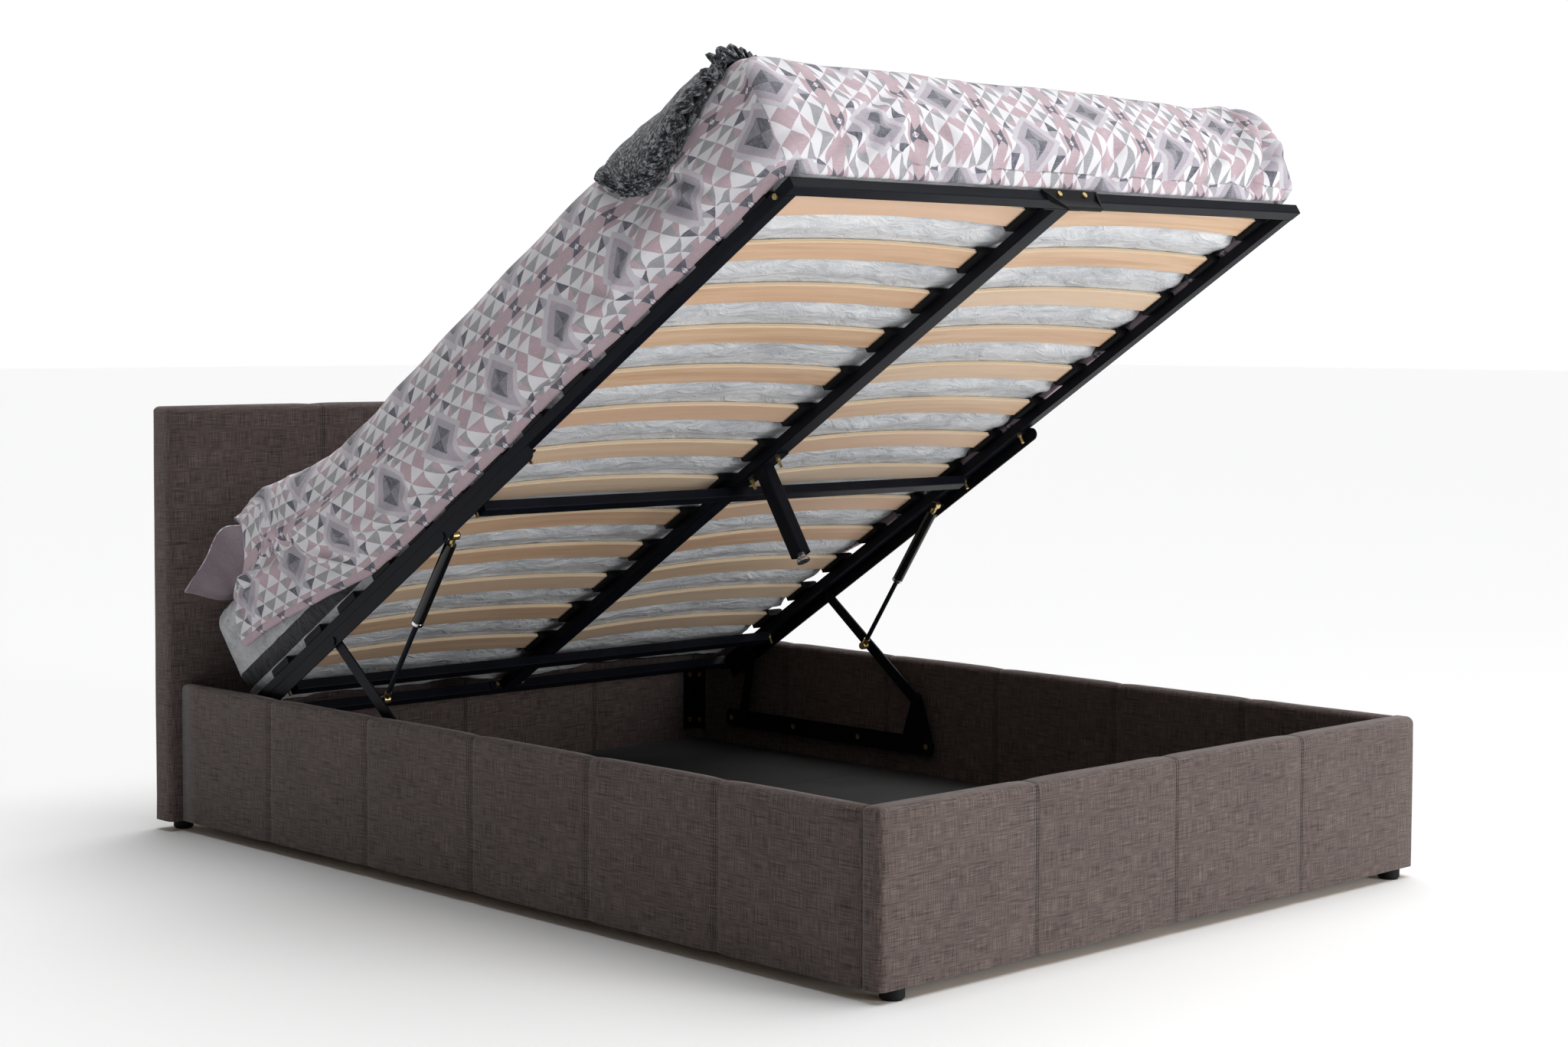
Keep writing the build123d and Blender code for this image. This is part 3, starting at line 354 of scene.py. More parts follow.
def patchwork(name, shift=0.0):
    """Cotton printed with small two-tone triangles, diamonds in half-dropped rows and short bars between them."""
    r = Recipe(name, roughness=0.85, sheen_weight=0.2, specular_ior_level=0.2)
    u, v, _ = r.split(r.coordinates("UV", shift=(shift, 0.02, 0)))
    repeat = 0.186
    cell = repeat / 8
    column = (u / repeat).floor()
    across = ((u / repeat).fraction() - 0.5) * repeat
    along = ((v / repeat + column * 0.5).fraction() - 0.5) * repeat
    fold_u, fold_v = abs(across), abs(along)
    a, b = fold_u / cell, fold_v / cell
    row, place = a.floor(), b.floor()
    turned = (((row + place) * 0.5).fraction() > 0.25)
    slope = turned * (1.0 - b.fraction() * 2.0) + b.fraction()
    upper = a.fraction() > slope
    pick = r.add("ShaderNodeTexWhiteNoise", {"noise_dimensions": "2D"}, {"Vector": r.join(row * 1.7 + 0.3, place * 2.3 + 4.1)})
    other = r.add("ShaderNodeTexWhiteNoise", {"noise_dimensions": "2D"}, {"Vector": r.join(row * 3.1 + 8.0, place * 1.3 + 2.0)})
    deep = r.ramp(pick, ((0.0, PINK), (0.32, GREY), (0.52, SLATE), (0.68, MAUVE), (0.80, PINK)), "CONSTANT")
    pale = r.ramp(other, ((0.0, WHITE), (0.78, (0.56, 0.54, 0.58))), "CONSTANT")
    colour = r.mix(upper, deep, pale)
    diamond = fold_u + fold_v
    hatch = ((across + along) * 330.0).fraction() < 0.42
    quarter = (across * along) > 0.0
    core = r.mix(quarter, r.mix(hatch, (0.06, 0.062, 0.085), (0.16, 0.16, 0.19)), r.mix(hatch, (0.14, 0.135, 0.165), GREY))
    ring = r.mix(diamond < 0.046, r.mix(0.45, MAUVE, WHITE), MAUVE)
    ring = r.mix((diamond > 0.0455) * (diamond < 0.0485), ring, PINK)
    colour = r.mix(diamond < 0.062, colour, r.mix(diamond < 0.030, ring, core))
    rim = repeat / 2 - fold_u
    bar_place = abs(fold_v - repeat / 4)
    bar = (rim < 0.0125) * ((bar_place + rim * 0.9) < 0.040)
    tip = (rim < 0.0125) * ((bar_place + rim * 0.9) > 0.040) * ((bar_place - rim * 0.9) < 0.0405)
    colour = r.mix(tip, r.mix(bar, colour, PINK), SLATE)
    thread = r.clouds(r.join(u * 900.0, v * 60.0), 1, 2) * 0.5 + r.clouds(r.join(u * 60.0, v * 900.0), 1, 2) * 0.5
    colour = r.mix(thread.smooth(0.42, 0.62) * 0.2, colour, (0.78, 0.76, 0.79))
    r.colour(colour)
    soft = r.clouds(r.join(u * 14.0, v * 14.0), 1, 4, 0.6, 0.5)
    r.bump((soft, 0.3, 0.006), (thread, 0.3, 0.0006))
    return r.material


def pillow_reverse():
    """Plain dusty mauve cotton of the underside of the pillow cases; its dark tone is partly painted shade of the
    underside.
    """
    r = Recipe("mauve_cotton", roughness=0.88, sheen_weight=0.2, specular_ior_level=0.2)
    u, v, _ = r.split(r.coordinates("UV"))
    thread = r.clouds(r.join(u * 900.0, v * 60.0), 1, 2) * 0.5 + r.clouds(r.join(u * 60.0, v * 900.0), 1, 2) * 0.5
    faded = r.clouds(r.join(u * 8.0, v * 8.0), 1, 3, 0.6)
    r.colour(r.ramp(thread * 0.6 + faded * 0.4, ((0.35, (0.17, 0.135, 0.16)), (0.62, (0.29, 0.235, 0.27)))))
    r.bump((faded, 0.3, 0.005), (thread, 0.3, 0.0006))
    return r.material


def melange_knit():
    """Charcoal yarn flecked with white, in fine ribs."""
    r = Recipe("melange_knit", roughness=0.95, sheen_weight=0.3, specular_ior_level=0.15)
    u, v, _ = r.split(r.coordinates("UV"))
    flecks = r.clouds(r.join(u * 230.0, v * 150.0), 1, 3, 0.8)
    yarn = r.clouds(r.join(u * 900.0, v * 900.0), 1, 2, 0.6)
    rib = (u * 700.0).math("SINE") * 0.5 + 0.5
    rows = r.clouds(r.join(u * 70.0, v * 40.0), 1, 2, 0.6)
    tone = flecks * 0.6 + yarn * 0.15 + rows * 0.25
    r.colour(r.ramp(tone, ((0.43, (0.007, 0.008, 0.011)), (0.50, (0.03, 0.033, 0.042)), (0.57, (0.42, 0.44, 0.47)))))
    r.bump((rib, 0.35, 0.002), (flecks, 0.7, 0.003))
    return r.material


STEEL, ZINC, PLATE, STRUT, PLASTIC, TIMBER, BOARD = (
    painted_steel(), yellow_zinc(), bright_plate(), strut_paint(), moulded_plastic(), plain_timber(), floor_facing()
)
FINISHES = {
    "frame_timber": TIMBER, "floor_board": BOARD, "black_steel": STEEL, "zinc_bolts": ZINC, "bright_steel": PLATE,
    "black_plastic": PLASTIC,
}


def wear(piece, material):
    """Gives a piece one finish in every slot."""
    piece.data.materials.clear()
    piece.data.materials.append(material)


slots = {part["node"]: part["material_slot"] for part in frame["record"]["subparts"]}
for node, piece in frame["nodes"].items():
    if slots[node] in FINISHES:
        wear(piece, FINISHES[slots[node]])
for hand in ("left", "right"):
    wear(frame["nodes"]["strut_barrel_" + hand], STRUT)
wear(frame["nodes"]["slats_left"], birch("birch_left", 0.0))
wear(frame["nodes"]["slats_right"], birch("birch_right", 0.5))


# Mesh helpers


def new_piece(name, shape, material, body, replaced=(), smooth=True):
    """Turns a bmesh into a piece that rides on a body."""
    mesh = bpy.data.meshes.new(name)
    shape.to_mesh(mesh)
    shape.free()
    mesh.polygons.foreach_set("use_smooth", [smooth] * len(mesh.polygons))
    piece = bpy.data.objects.new(name, mesh)
    bpy.context.scene.collection.objects.link(piece)
    piece.data.materials.append(material)
    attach(piece, body)
    if replaced:
        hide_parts(*replaced)
    return piece


def box_shape(low, high):
    shape = bmesh.new()
    bmesh.ops.create_cube(shape, size=1)
    size, centre = high - low, (high + low) / 2
    bmesh.ops.scale(shape, vec=size, verts=shape.verts)
    bmesh.ops.translate(shape, vec=centre, verts=shape.verts)
    return shape


def slice_at(shape, axis, places):
    """Cuts a shape across an axis at each place."""
    normal = Vector((0, 0, 0))
    normal[axis] = 1
    for place in places:
        geometry = shape.verts[:] + shape.edges[:] + shape.faces[:]
        bmesh.ops.bisect_plane(shape, geom=geometry, dist=1e-6, plane_co=normal * place, plane_no=normal)


def even_places(low, high, step):
    count = max(1, round((high - low) / step))
    return [low + (high - low) * k / count for k in range(1, count)]


def flat_uv(shape, turn=None):
    """UV in metres from the axis that each face looks along."""
    layer = shape.loops.layers.uv.new("cloth")
    shape.normal_update()
    for face in shape.faces:
        normal = face.normal if turn is None else turn @ face.normal
        size = [abs(value) for value in normal]
        drop = size.index(max(size))
        first, second = [k for k in range(3) if k != drop]
        for loop in face.loops:
            place = loop.vert.co if turn is None else turn @ loop.vert.co
            loop[layer].uv = (place[first], place[second]) if drop != 2 else (place[0], place[1])


# Upholstered surround

SEAM_STEPS = (0.0, 0.0016, 0.0034, 0.006, 0.0105, 0.018, 0.03)


def upholstered(name, node, axis, pitch, count, material, radius=0.012):
    """Padded panel whose cloth swells between its seams and dips into them."""
    low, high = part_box(node)
    shape = box_shape(low, high)
    edges = [
        edge for edge in shape.edges
        if max(v.co.z for v in edge.verts) > high.z - 1e-4 or (axis == 0 and abs(edge.verts[0].co.z - edge.verts[1].co.z) > 0.01)
    ]
    if axis == 1:
        edges = [edge for edge in edges if abs(edge.verts[0].co.y - edge.verts[1].co.y) > 0.01]
    bmesh.ops.bevel(shape, geom=edges, offset=radius, segments=5, profile=0.5, affect="EDGES", material=-1)
    middle = (low[axis] + high[axis]) / 2
    seams = [middle + pitch * (k - (count - 2) / 2) for k in range(count - 1)]
    cuts = sorted({round(seam + side * step, 6) for seam in seams for step in SEAM_STEPS for side in (-1, 1)})
    panels = even_places(low[axis] + radius, high[axis] - radius, 0.045)
    cuts += [place for place in panels if all(abs(place - seam) > 0.034 for seam in seams)]
    slice_at(shape, axis, cuts)
    slice_at(shape, 2, even_places(low.z + 0.006, high.z - radius, 0.04))
    shape.normal_update()
    moves = []
    for vert in shape.verts:
        away = min(abs(vert.co[axis] - seam) for seam in seams)
        swell = 0.0016 - 0.0012 * math.exp(-((away / 0.0028) ** 2)) - 0.0016 * math.exp(-((away / 0.024) ** 2))
        if abs(vert.normal[axis]) > 0.8:
            swell = 0.0004
        moves.append(vert.normal * (swell + noise.noise(vert.co * 6.5) * 0.0008))
    for vert, move in zip(shape.verts, moves):
        vert.co += move
    under = [face for face in shape.faces if face.normal.z < -0.9]
    bmesh.ops.delete(shape, geom=under, context="FACES")
    flat_uv(shape)
    return new_piece(name, shape, material, "base", (node,))


foot_linen = linen("foot_linen", 0, 0.355, 0.6)
SIDE_PITCH = (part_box("side_cover_left")[1].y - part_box("side_cover_left")[0].y) / 6
rail_linen = linen("rail_linen", 1, SIDE_PITCH, 0.9)
head_linen = linen("head_linen", 0, 0.36825, 0.6)
upholstered("foot_upholstery", "foot_cover", 0, 0.355, 4, foot_linen)
upholstered("rail_upholstery_left", "side_cover_left", 1, SIDE_PITCH, 6, rail_linen)
upholstered("rail_upholstery_right", "side_cover_right", 1, SIDE_PITCH, 6, rail_linen)
upholstered("head_upholstery", "headboard_cover", 0, 0.36825, 4, head_linen)


# Bedding, shaped flat and then laid on the raised platform


def lay_on_platform(piece):
    piece.data.transform(PLATFORM)
    piece.data.update()


def eased(value, low, high):
    """0 below low, 1 above high and smooth between."""
    share = min(1.0, max(0.0, (value - low) / (high - low)))
    return share * share * (3 - 2 * share)


def bell(value, centre, width):
    return math.exp(-(((value - centre) / width) ** 2))


def filling_of(piece, depth):
    """The stuffing below a cover, as a body that the cover rests on."""
    mesh = piece.data.copy()
    for vert, normal in zip(mesh.vertices, [vert.normal.copy() for vert in mesh.vertices]):
        vert.co -= normal * depth
    body = bpy.data.objects.new("filling", mesh)
    bpy.context.scene.collection.objects.link(body)
    return body


def settle(piece, held, frames, reach, depth=0.0, pressure=0.0, slack=0.03, bend=0.6, fall=1.0):
    """Creases a piece by Cloth simulation, with its held points fixed and no point moved beyond its reach."""
    scene = bpy.context.scene
    filling = filling_of(piece, depth) if depth else None
    if filling:
        filling.modifiers.new("filling", "COLLISION")
        filling.collision.thickness_outer = 0.003
    before = [vert.co.copy() for vert in piece.data.vertices]
    group = piece.vertex_groups.new(name="held")
    group.add(held, 1.0, "REPLACE")
    cloth = piece.modifiers.new("cloth", "CLOTH")
    cloth.point_cache.frame_start, cloth.point_cache.frame_end = 1, frames
    settings = cloth.settings
    settings.quality, settings.mass, settings.air_damping = 6, 0.25, 3
    settings.tension_stiffness = settings.compression_stiffness = 12
    settings.shear_stiffness, settings.bending_stiffness = 4, bend
    settings.vertex_group_mass, settings.pin_stiffness = "held", 5
    settings.shrink_min = settings.shrink_max = -slack
    settings.effector_weights.gravity = fall
    if pressure:
        settings.use_pressure, settings.uniform_pressure_force = True, pressure
    cloth.collision_settings.use_collision = filling is not None
    cloth.collision_settings.distance_min = 0.004
    for frame_number in range(1, frames + 1):
        scene.frame_set(frame_number)
    evaluated = piece.evaluated_get(bpy.context.evaluated_depsgraph_get())
    after = [vert.co.copy() for vert in evaluated.data.vertices]
    piece.modifiers.remove(cloth)
    for vert, start, end in zip(piece.data.vertices, before, after):
        move = end - start
        if move.length > reach:
            move *= reach / move.length
        vert.co = start + move
    scene.frame_set(1)
    if filling:
        bpy.data.objects.remove(filling)


def round_off(piece, thickness=0.0, offset=-1, rounded=True):
    if thickness:
        thicken = piece.modifiers.new("thickness", "SOLIDIFY")
        thicken.thickness, thicken.offset = thickness, offset
    if not rounded:
        return
    smooth = piece.modifiers.new("rounding", "SUBSURF")
    smooth.levels = smooth.render_levels = 1


def slat_top(x, y):
    """Height of what carries the mattress, and how far it may sag into the space between slats."""
    reach = abs(x)
    bow = 0.0465 - 0.014 * ((reach - 0.3295) / 0.3145) ** 2 if reach < 0.644 else 0.0375
    row = (LAST_SLAT - y) / SLAT_PITCH
    near = abs(row - round(row)) * SLAT_PITCH if -0.4 < row < 12.4 else 0.1
    sag = 1 - math.exp(-((max(0.0, near - 0.03) / 0.022) ** 2))
    return max(bow, 0.0375) + 0.0009, sag


def make_mattress():
    half, low, high, front, back = 0.660, 0.0471, 0.2371, -1.888, -0.010
    shape = box_shape(Vector((-half, front, low)), Vector((half, back, high)))
    bmesh.ops.bevel(shape, geom=shape.edges[:], offset=0.038, segments=5, profile=0.5, affect="EDGES", material=-1)
    slice_at(shape, 0, even_places(-0.62, 0.62, 0.022))
    slice_at(shape, 1, even_places(front + 0.04, back - 0.04, 0.013))
    slice_at(shape, 2, even_places(low + 0.04, high - 0.04, 0.03))
    shape.normal_update()
    moves = []
    for vert in shape.verts:
        place = vert.co.copy()
        crease = noise.fractal(Vector((place.x * 9, place.y * 30, place.z * 9)), 0.9, 2.0, 4)
        if vert.normal.z < -0.5 and abs(place.x) < 0.64:
            rest, sag = slat_top(place.x, place.y)
            target = rest + sag * (-0.008 + 0.0075 * crease) + (1 - sag) * 0.0006
            moves.append(Vector((0, 0, target - place.z)))
        else:
            lean = 0.022 * (place.z - high) / (high - low) * eased(place.y, -0.12, back) + 0.005 * eased(place.y, -0.06, back)
            moves.append(vert.normal * (0.002 * crease - 0.001) + Vector((0, lean, 0)))
    for vert, move in zip(shape.verts, moves):
        vert.co += move
    flat_uv(shape)
    piece = new_piece("mattress_cover", shape, mattress_cloth(), "platform", ("mattress",))
    lay_on_platform(piece)


QUILT_HALF, QUILT_FOOT, QUILT_HEAD, QUILT_HEM, QUILT_TOP, SHOULDER = 0.699, -1.917, -0.127, 0.0225, 0.300, 0.078
TUCK_HALF, TUCK_FOOT = 0.668, -1.884


THROW_DENT = 0.018
# Height to which the hem lies between the boards when the bed is shut, and how far out it may then stand
BOARD_TOPS, HEM_HALF, HEM_FOOT = 0.042, 0.672, -1.890

# Folds of the quilt: where each rises from the hem, how far up it starts, how it leans and how far up it reaches
FOOT_FOLDS = (
    (-0.60, 0.06, 0.34, 0.75), (-0.52, 0.05, 0.26, 0.5), (-0.40, 0.05, 0.10, 0.42), (-0.31, 0.05, -0.06, 0.5),
    (-0.24, 0.05, 0.05, 0.3), (0.12, 0.05, -0.04, 0.35), (0.38, 0.05, 0.08, 0.4), (0.53, 0.05, 0.12, 0.6),
)
SIDE_FOLDS = (
    (-1.80, 0.10, 0.30, 0.8), (-1.72, 0.10, 0.20, 0.5), (-1.45, 0.12, 0.10, 0.45), (-1.12, 0.10, 0.12, 0.5),
    (-0.83, 0.10, 0.16, 0.5), (-0.55, 0.15, 0.22, 0.7), (-0.38, 0.25, 0.24, 0.8),
)


def quilt_uv(shape):
    """Prints the top flat and lets the print run on down the sides and the foot."""
    layer = shape.loops.layers.uv.new("cloth")
    shape.normal_update()
    turn = QUILT_TOP - 0.022
    for face in shape.faces:
        normal = face.normal
        side = abs(normal.x) > abs(normal.z) and abs(normal.x) > abs(normal.y)
        foot = not side and abs(normal.y) > abs(normal.z)
        for loop in face.loops:
            x, y, z = loop.vert.co
            if side:
                loop[layer].uv = (math.copysign(QUILT_HALF - 0.02 + turn - z, x), y)
            elif foot:
                loop[layer].uv = (x, QUILT_FOOT + 0.02 - (turn - z))
            else:
                loop[layer].uv = (x, y)


def quilt_form(place, normal):
    """Bends a point of the plain block into the made-up quilt: plump sides, tucked hem and gathered corners."""
    x, y, z = place
    share = (z - QUILT_HEM) / (QUILT_TOP - QUILT_HEM)
    upper = eased(share, 0.35, 0.9)
    z += 0.078 * eased(y, -0.62, -0.20) * share * share
    z -= 0.030 * upper * eased(-y, 1.70, 1.93) + 0.022 * upper * eased(x, 0.2, 0.72) * eased(-y, 1.5, 1.9)
    tuck = (1 - min(1.0, share / 0.24)) ** 1.6 * (1 - eased(y, -0.62, -0.40))
    plump = 0.006 * math.sin(math.pi * min(1.0, share)) * (1 - upper)
    side, foot = eased(abs(x), 0.62, 0.69), eased(-y, 1.83, 1.91)
    gather = noise.noise(Vector((y * 13, x * 2, share * 1.2))) * 0.010 * (1 - share) ** 2
    pleats = (1 - abs(noise.noise(Vector((x * 15, 4.0, share * 0.9)))) * 3.2) * 0.007 * (1 - eased(share, 0.05, 0.75))
    half = QUILT_HALF + (TUCK_HALF - QUILT_HALF) * tuck
    reach = QUILT_FOOT + (TUCK_FOOT - QUILT_FOOT) * tuck
    inner = 1 - tuck
    x = math.copysign(abs(x) * (1 + side * (half / QUILT_HALF - 1)) + side * (plump + gather * inner), x)
    y = y + foot * (reach - QUILT_FOOT - (plump + pleats * inner))
    corner = eased(x, 0.40, 0.66) * eased(-y, 1.62, 1.88)
    crease = abs(x - 0.615 + 0.28 * (share - 0.65) * (share - 0.65))
    x -= corner * (0.016 + 0.022 * share)
    y += foot * (0.040 * bell(crease, 0.0, 0.017) - 0.014 * bell(crease, 0.05, 0.026)) * eased(x, 0.3, 0.6) * inner
    for root_x, root_share, lean, length in FOOT_FOLDS:
        run, off = share - root_share, x - root_x - lean * (share - root_share)
        fade = eased(run, -0.05, 0.06) * (1 - eased(run, 0.5 * length, length))
        y += foot * fade * (0.024 * bell(off, 0.0, 0.016) - 0.010 * bell(off, 0.036, 0.020))
    for root_y, root_share, lean, length in SIDE_FOLDS:
        run, off = share - root_share, y - root_y - lean * (share - root_share)
        fade = side * eased(run, -0.05, 0.06) * (1 - eased(run, 0.5 * length, length))
        x -= math.copysign(fade * (0.020 * bell(off, 0.0, 0.017) - 0.009 * bell(off, 0.040, 0.022)), x)
    left = eased(-x, 0.45, 0.68) * eased(-y, 1.66, 1.9)
    x -= left * 0.010 * share
    z += left * 0.016 * upper
    under = eased(y, -1.905, -1.865) * (1 - eased(y, -1.545, -1.49)) * eased(-x, -0.60, -0.50)
    z -= THROW_DENT * under * upper
    x += THROW_DENT * under * side * eased(z, 0.12, 0.17) * (x < 0)
    hem = QUILT_HEM + 0.006 * math.sin(y * 9.0) * side + 0.082 * eased(y, -0.60, -0.14)
    z = max(z, hem + (z - QUILT_HEM) * 0.9) if share < 0.55 else z
    slant = eased(share, 0.25, 1.0) * 0.115 * eased(y, -0.50, QUILT_HEAD) * side
    y -= slant + 0.028 * eased(y, -0.30, QUILT_HEAD) * (1 - side * 0.6)
    swell = noise.fractal(Vector((x * 3.0, y * 3.0, z * 3.0)), 1.0, 2.0, 3) * 0.008
    dimple = noise.noise(Vector((x * 7.5, y * 7.5, z * 7.5))) * 0.0035
    return Vector((x, y, z)) + normal * (swell + dimple) * inner


def make_quilt():
    shape = box_shape(Vector((-QUILT_HALF, QUILT_FOOT, QUILT_HEM)), Vector((QUILT_HALF, QUILT_HEAD, QUILT_TOP)))
    rim = [
        edge for edge in shape.edges
        if any(vert.co.z > QUILT_HEM + 0.01 for vert in edge.verts) and any(vert.co.y < QUILT_HEAD - 0.01 for vert in edge.verts)
    ]
    bmesh.ops.bevel(shape, geom=rim, offset=SHOULDER, segments=8, profile=0.5, affect="EDGES", material=-1)
    open_sides = [face for face in shape.faces if face.normal.z < -0.9 or face.normal.y > 0.9]
    bmesh.ops.delete(shape, geom=open_sides, context="FACES")
    slice_at(shape, 0, even_places(SHOULDER - QUILT_HALF, QUILT_HALF - SHOULDER, 0.0135))
    slice_at(shape, 1, even_places(QUILT_FOOT + SHOULDER, QUILT_HEAD, 0.0135))
    slice_at(shape, 2, even_places(QUILT_HEM, QUILT_TOP - SHOULDER, 0.0135))
    quilt_uv(shape)
    places = [quilt_form(vert.co.copy(), vert.normal.copy()) for vert in shape.verts]
    held = [k for k, vert in enumerate(shape.verts) if vert.co.z < QUILT_HEM + 0.03]
    for vert, place in zip(shape.verts, places):
        vert.co = place
    piece = new_piece("quilt_cover", shape, patchwork("patchwork_quilt"), "platform", ("quilt",))
    settle(piece, held, 26, 0.026, depth=0.011, slack=0.045, bend=0.25)
    for vert in piece.data.vertices:
        room = 2.0 * max(0.0, vert.co.z - BOARD_TOPS)
        vert.co.x = math.copysign(min(abs(vert.co.x), HEM_HALF + room), vert.co.x)
        vert.co.y = max(vert.co.y, HEM_FOOT - room)
    lay_on_platform(piece)
    round_off(piece, 0.014)


PILLOW_LENGTH, PILLOW_DEPTH, PILLOW_CROWN, FLANGE = 0.684, 0.45, 0.100, 0.030


def make_pillow(side):
    """Crowned pillow in a case with a flat flange round it, whose outer end droops off the mattress."""
    half_x, half_y = PILLOW_LENGTH / 2, PILLOW_DEPTH / 2
    shape = box_shape(Vector((-half_x, -half_y, -0.01)), Vector((half_x, half_y, 0.01)))
    slice_at(shape, 0, even_places(-half_x, half_x, 0.0115))
    slice_at(shape, 1, even_places(-half_y, half_y, 0.0115))
    flat_uv(shape)
    # Faces of the underside take the darker plain cotton, partly painted shade
    for face in shape.faces:
        face.material_index = 1 if all(vert.co.z < 0 for vert in face.verts) else 0
    held = []
    for index, vert in enumerate(shape.verts):
        x, y, z = vert.co
        sx = max(0.0, 1 - (abs(x) / (half_x - FLANGE)) ** 4.5)
        sy = max(0.0, 1 - (abs(y) / (half_y - FLANGE)) ** 2.8)
        crown = (sx * sy) ** 0.5
        if crown < 0.001:
            held.append(index)
        top = z > 0
        z = 0.0035 + (PILLOW_CROWN - 0.004) * crown if top else 0.0005
        z += 0.015 * (1 - crown)
        pull = 1 - 0.05 * (1 - (y / half_y) ** 2) * (abs(x) / half_x) ** 4
        vert.co = Vector((x * pull, y, z))
    name = "pillow_case_left" if side < 0 else "pillow_case_right"
    node = "pillow_left" if side < 0 else "pillow_right"
    piece = new_piece(name, shape, patchwork(name + "_print", 0.1), "platform", (node,))
    piece.data.materials.append(pillow_reverse())
    settle(piece, held, 16, 0.012, pressure=1.6, slack=0.04, bend=0.3, fall=0.0)
    for vert in piece.data.vertices:
        x, y, z = vert.co
        out = eased(x * side, half_x - 0.085, half_x)
        z += out * (0.018 + 0.062 * bell(y, 0.060, 0.105) + 0.004 * math.sin(y * 46 + side))
        x -= side * 0.050 * out * eased(-y, -0.03, 0.06)
        vert.co = Vector((x + side * (0.717 - half_x), y - 0.038 - half_y, max(z, 0.0) + 0.2385))
    lay_on_platform(piece)
    round_off(piece)


THROW_FOOT, THROW_WIDTH, THROW_LAYERS = -1.868, 0.345, 0.016
THROW_LEFT, THROW_RIGHT, THROW_LOW, THROW_BEND = -0.688, 0.55, 0.168, 0.082
THROW_TOP = QUILT_TOP - THROW_DENT


def throw_path(along):
    """Point and outward direction at a distance along the throw, up from its hanging left end and across the bed."""
    rise = THROW_TOP - THROW_BEND - THROW_LOW
    quarter = THROW_BEND * math.pi / 2
    if along < rise:
        return THROW_LEFT, THROW_LOW + along, -1.0, 0.0
    if along < rise + quarter:
        turn = (along - rise) / THROW_BEND
        x = THROW_LEFT + THROW_BEND * (1 - math.cos(turn))
        return x, THROW_TOP - THROW_BEND + THROW_BEND * math.sin(turn), -math.cos(turn), math.sin(turn)
    return THROW_LEFT + THROW_BEND + along - rise - quarter, THROW_TOP, 0.0, 1.0


def make_throw():
    """Knitted throw folded double across the foot of the quilt, with a ruffle along its edges."""
    fold = THROW_LAYERS / 2
    loop_length = fold * math.pi
    across_length = 1.9 * THROW_WIDTH + loop_length
    length = THROW_TOP - THROW_LOW + THROW_BEND * (math.pi / 2 - 2) + THROW_RIGHT - THROW_LEFT
    shape = bmesh.new()
    bmesh.ops.create_grid(shape, x_segments=290, y_segments=130, size=0.5)
    layer = shape.loops.layers.uv.new("cloth")
    for face in shape.faces:
        for loop in face.loops:
            place = loop.vert.co
            loop[layer].uv = ((place.x + 0.5) * length, (place.y + 0.5) * across_length)
    for vert in shape.verts:
        across = (vert.co.y + 0.5) * across_length
        if across < THROW_WIDTH:
            share, lift = across / THROW_WIDTH, THROW_LAYERS * (0.4 + 0.6 * eased(across, 0.0, 0.10))
        elif across < THROW_WIDTH + loop_length:
            turn = (across - THROW_WIDTH) / fold
            share, lift = 1 + fold * math.sin(turn) / THROW_WIDTH, fold * (1 + math.cos(turn))
        else:
            share, lift = 1 - (across - THROW_WIDTH - loop_length) / THROW_WIDTH, 0.001
        start = 0.072 * (1 - eased(share, 0.0, 0.62)) + 0.085 * eased(share, 0.74, 1.05)
        along = start + (vert.co.x + 0.5) * (length - start)
        x, z, nx, nz = throw_path(along)
        upper = across < THROW_WIDTH
        loose = 0.010 * noise.fractal(Vector((along * 7, across * 9, 2.0)), 1.0, 2.0, 3)
        phase = 2.2 * noise.noise(Vector((across * 9, along * 9, 7.0)))
        end = 1 - eased(along - start, 0.0, 0.042)
        edge = (1 - eased(across, 0.0, 0.060)) * (1 - 0.6 * eased(along, 0.25, 0.5))
        lift += loose + upper * end * (0.006 + 0.013 * math.sin(across * 205 + phase))
        lift += upper * edge * (0.006 + 0.015 * math.sin(along * 260 + phase))
        lift += 0.004 - 0.030 * nz * eased(-THROW_FOOT - THROW_WIDTH * share, 1.70, 1.93)
        y = THROW_FOOT + THROW_WIDTH * share + 0.105 * (1 - share) * eased(x, -0.68, -0.36)
        y += upper * end * 0.006 * math.cos(across * 205 + phase)
        vert.co = Vector((x + nx * lift, y, z + nz * lift))
    piece = new_piece("throw_knit", shape, melange_knit(), "platform", ("throw",))
    lay_on_platform(piece)
    round_off(piece, 0.004, 1, rounded=False)


make_mattress()
make_quilt()
make_pillow(-1)
make_pillow(1)
make_throw()


# Studio


def lamp(name, place, aim, size, power):
    """Soft round lamp; one that has no size in metres is an even overhead glow, 65 degrees wide."""
    light = bpy.data.objects.new(name, bpy.data.lights.new(name, "AREA" if size else "SUN"))
    if size:
        light.data.shape, light.data.size = "DISK", size
    else:
        light.data.angle = math.radians(65)
    light.data.energy = power
    bpy.context.scene.collection.objects.link(light)
    light.location = place
    light.rotation_euler = (Vector(aim) - Vector(place)).to_track_quat("-Z", "Y").to_euler()


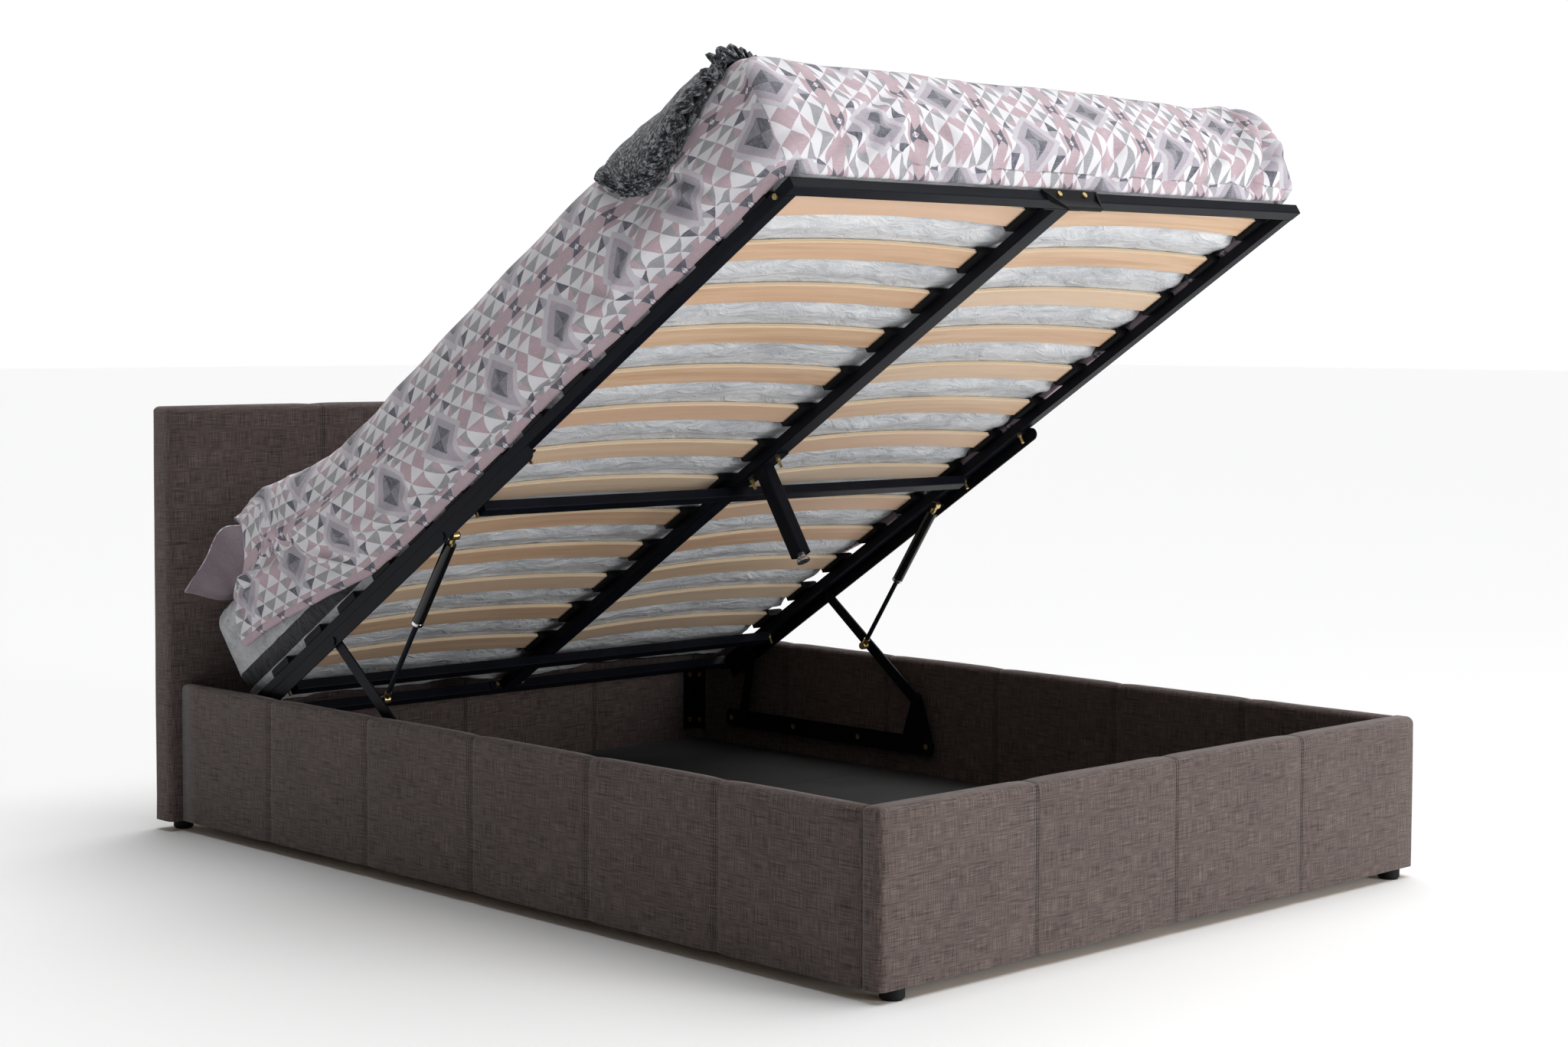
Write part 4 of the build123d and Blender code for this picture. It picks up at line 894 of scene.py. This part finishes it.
def studio():
    """Pale floor and a white backdrop behind the bed, with dim surroundings elsewhere."""
    shape = bmesh.new()
    bmesh.ops.create_grid(shape, x_segments=1, y_segments=1, size=60)
    floor = bpy.data.meshes.new("studio_floor")
    shape.to_mesh(floor)
    shape.free()
    piece = bpy.data.objects.new("studio_floor", floor)
    bpy.context.scene.collection.objects.link(piece)
    r = Recipe("studio_floor", roughness=0.9, specular_ior_level=0.1)
    r.colour((0.96, 0.96, 0.96))
    floor.materials.append(r.material)
    world = bpy.data.worlds.new("studio")
    bpy.context.scene.world = world
    world.use_nodes = True
    tree = world.node_tree
    back = tree.nodes["Background"]
    place, dot, ease = [tree.nodes.new("ShaderNode" + kind) for kind in ("TexCoord", "VectorMath", "MapRange")]
    dot.operation, dot.inputs[1].default_value = "DOT_PRODUCT", (0.69, 0.72, 0.0)
    ease.interpolation_type = "SMOOTHSTEP"
    for key, value in (("From Min", 0.70), ("From Max", 0.92), ("To Min", 0.12), ("To Max", 1.05)):
        ease.inputs[key].default_value = value
    tree.links.new(place.outputs["Generated"], dot.inputs[0])
    tree.links.new(dot.outputs["Value"], ease.inputs["Value"])
    tree.links.new(ease.outputs["Result"], back.inputs["Strength"])
    back.inputs["Color"].default_value = (1, 1, 1, 1)
    lamp("overhead", (2.9, -0.9, 7.0), (0.5, -0.5, 0), 0, 2.75)
    lamp("key", (1.8, -6.0, 0.9), (0, 0, 0.6), 2.4, 195)


def photo_camera():
    camera = bpy.data.objects.new("camera", bpy.data.cameras.new("camera"))
    bpy.context.scene.collection.objects.link(camera)
    camera.data.sensor_width, camera.data.lens = 36, 62.24
    camera.data.shift_x, camera.data.shift_y = 0.00305, -0.0434
    camera.data.clip_end = 200
    azimuth, pitch, roll = math.radians(43.709), math.radians(2.642), math.radians(0.0975)
    camera.location = (-3.5941, -3.80875, 1.0109)
    turn = Matrix.Rotation(-azimuth, 4, "Z") @ Matrix.Rotation(math.pi / 2 - pitch, 4, "X") @ Matrix.Rotation(roll, 4, "Z")
    camera.rotation_euler = turn.to_euler()
    bpy.context.scene.camera = camera


studio()
photo_camera()
bpy.context.scene.view_settings.view_transform = "Standard"
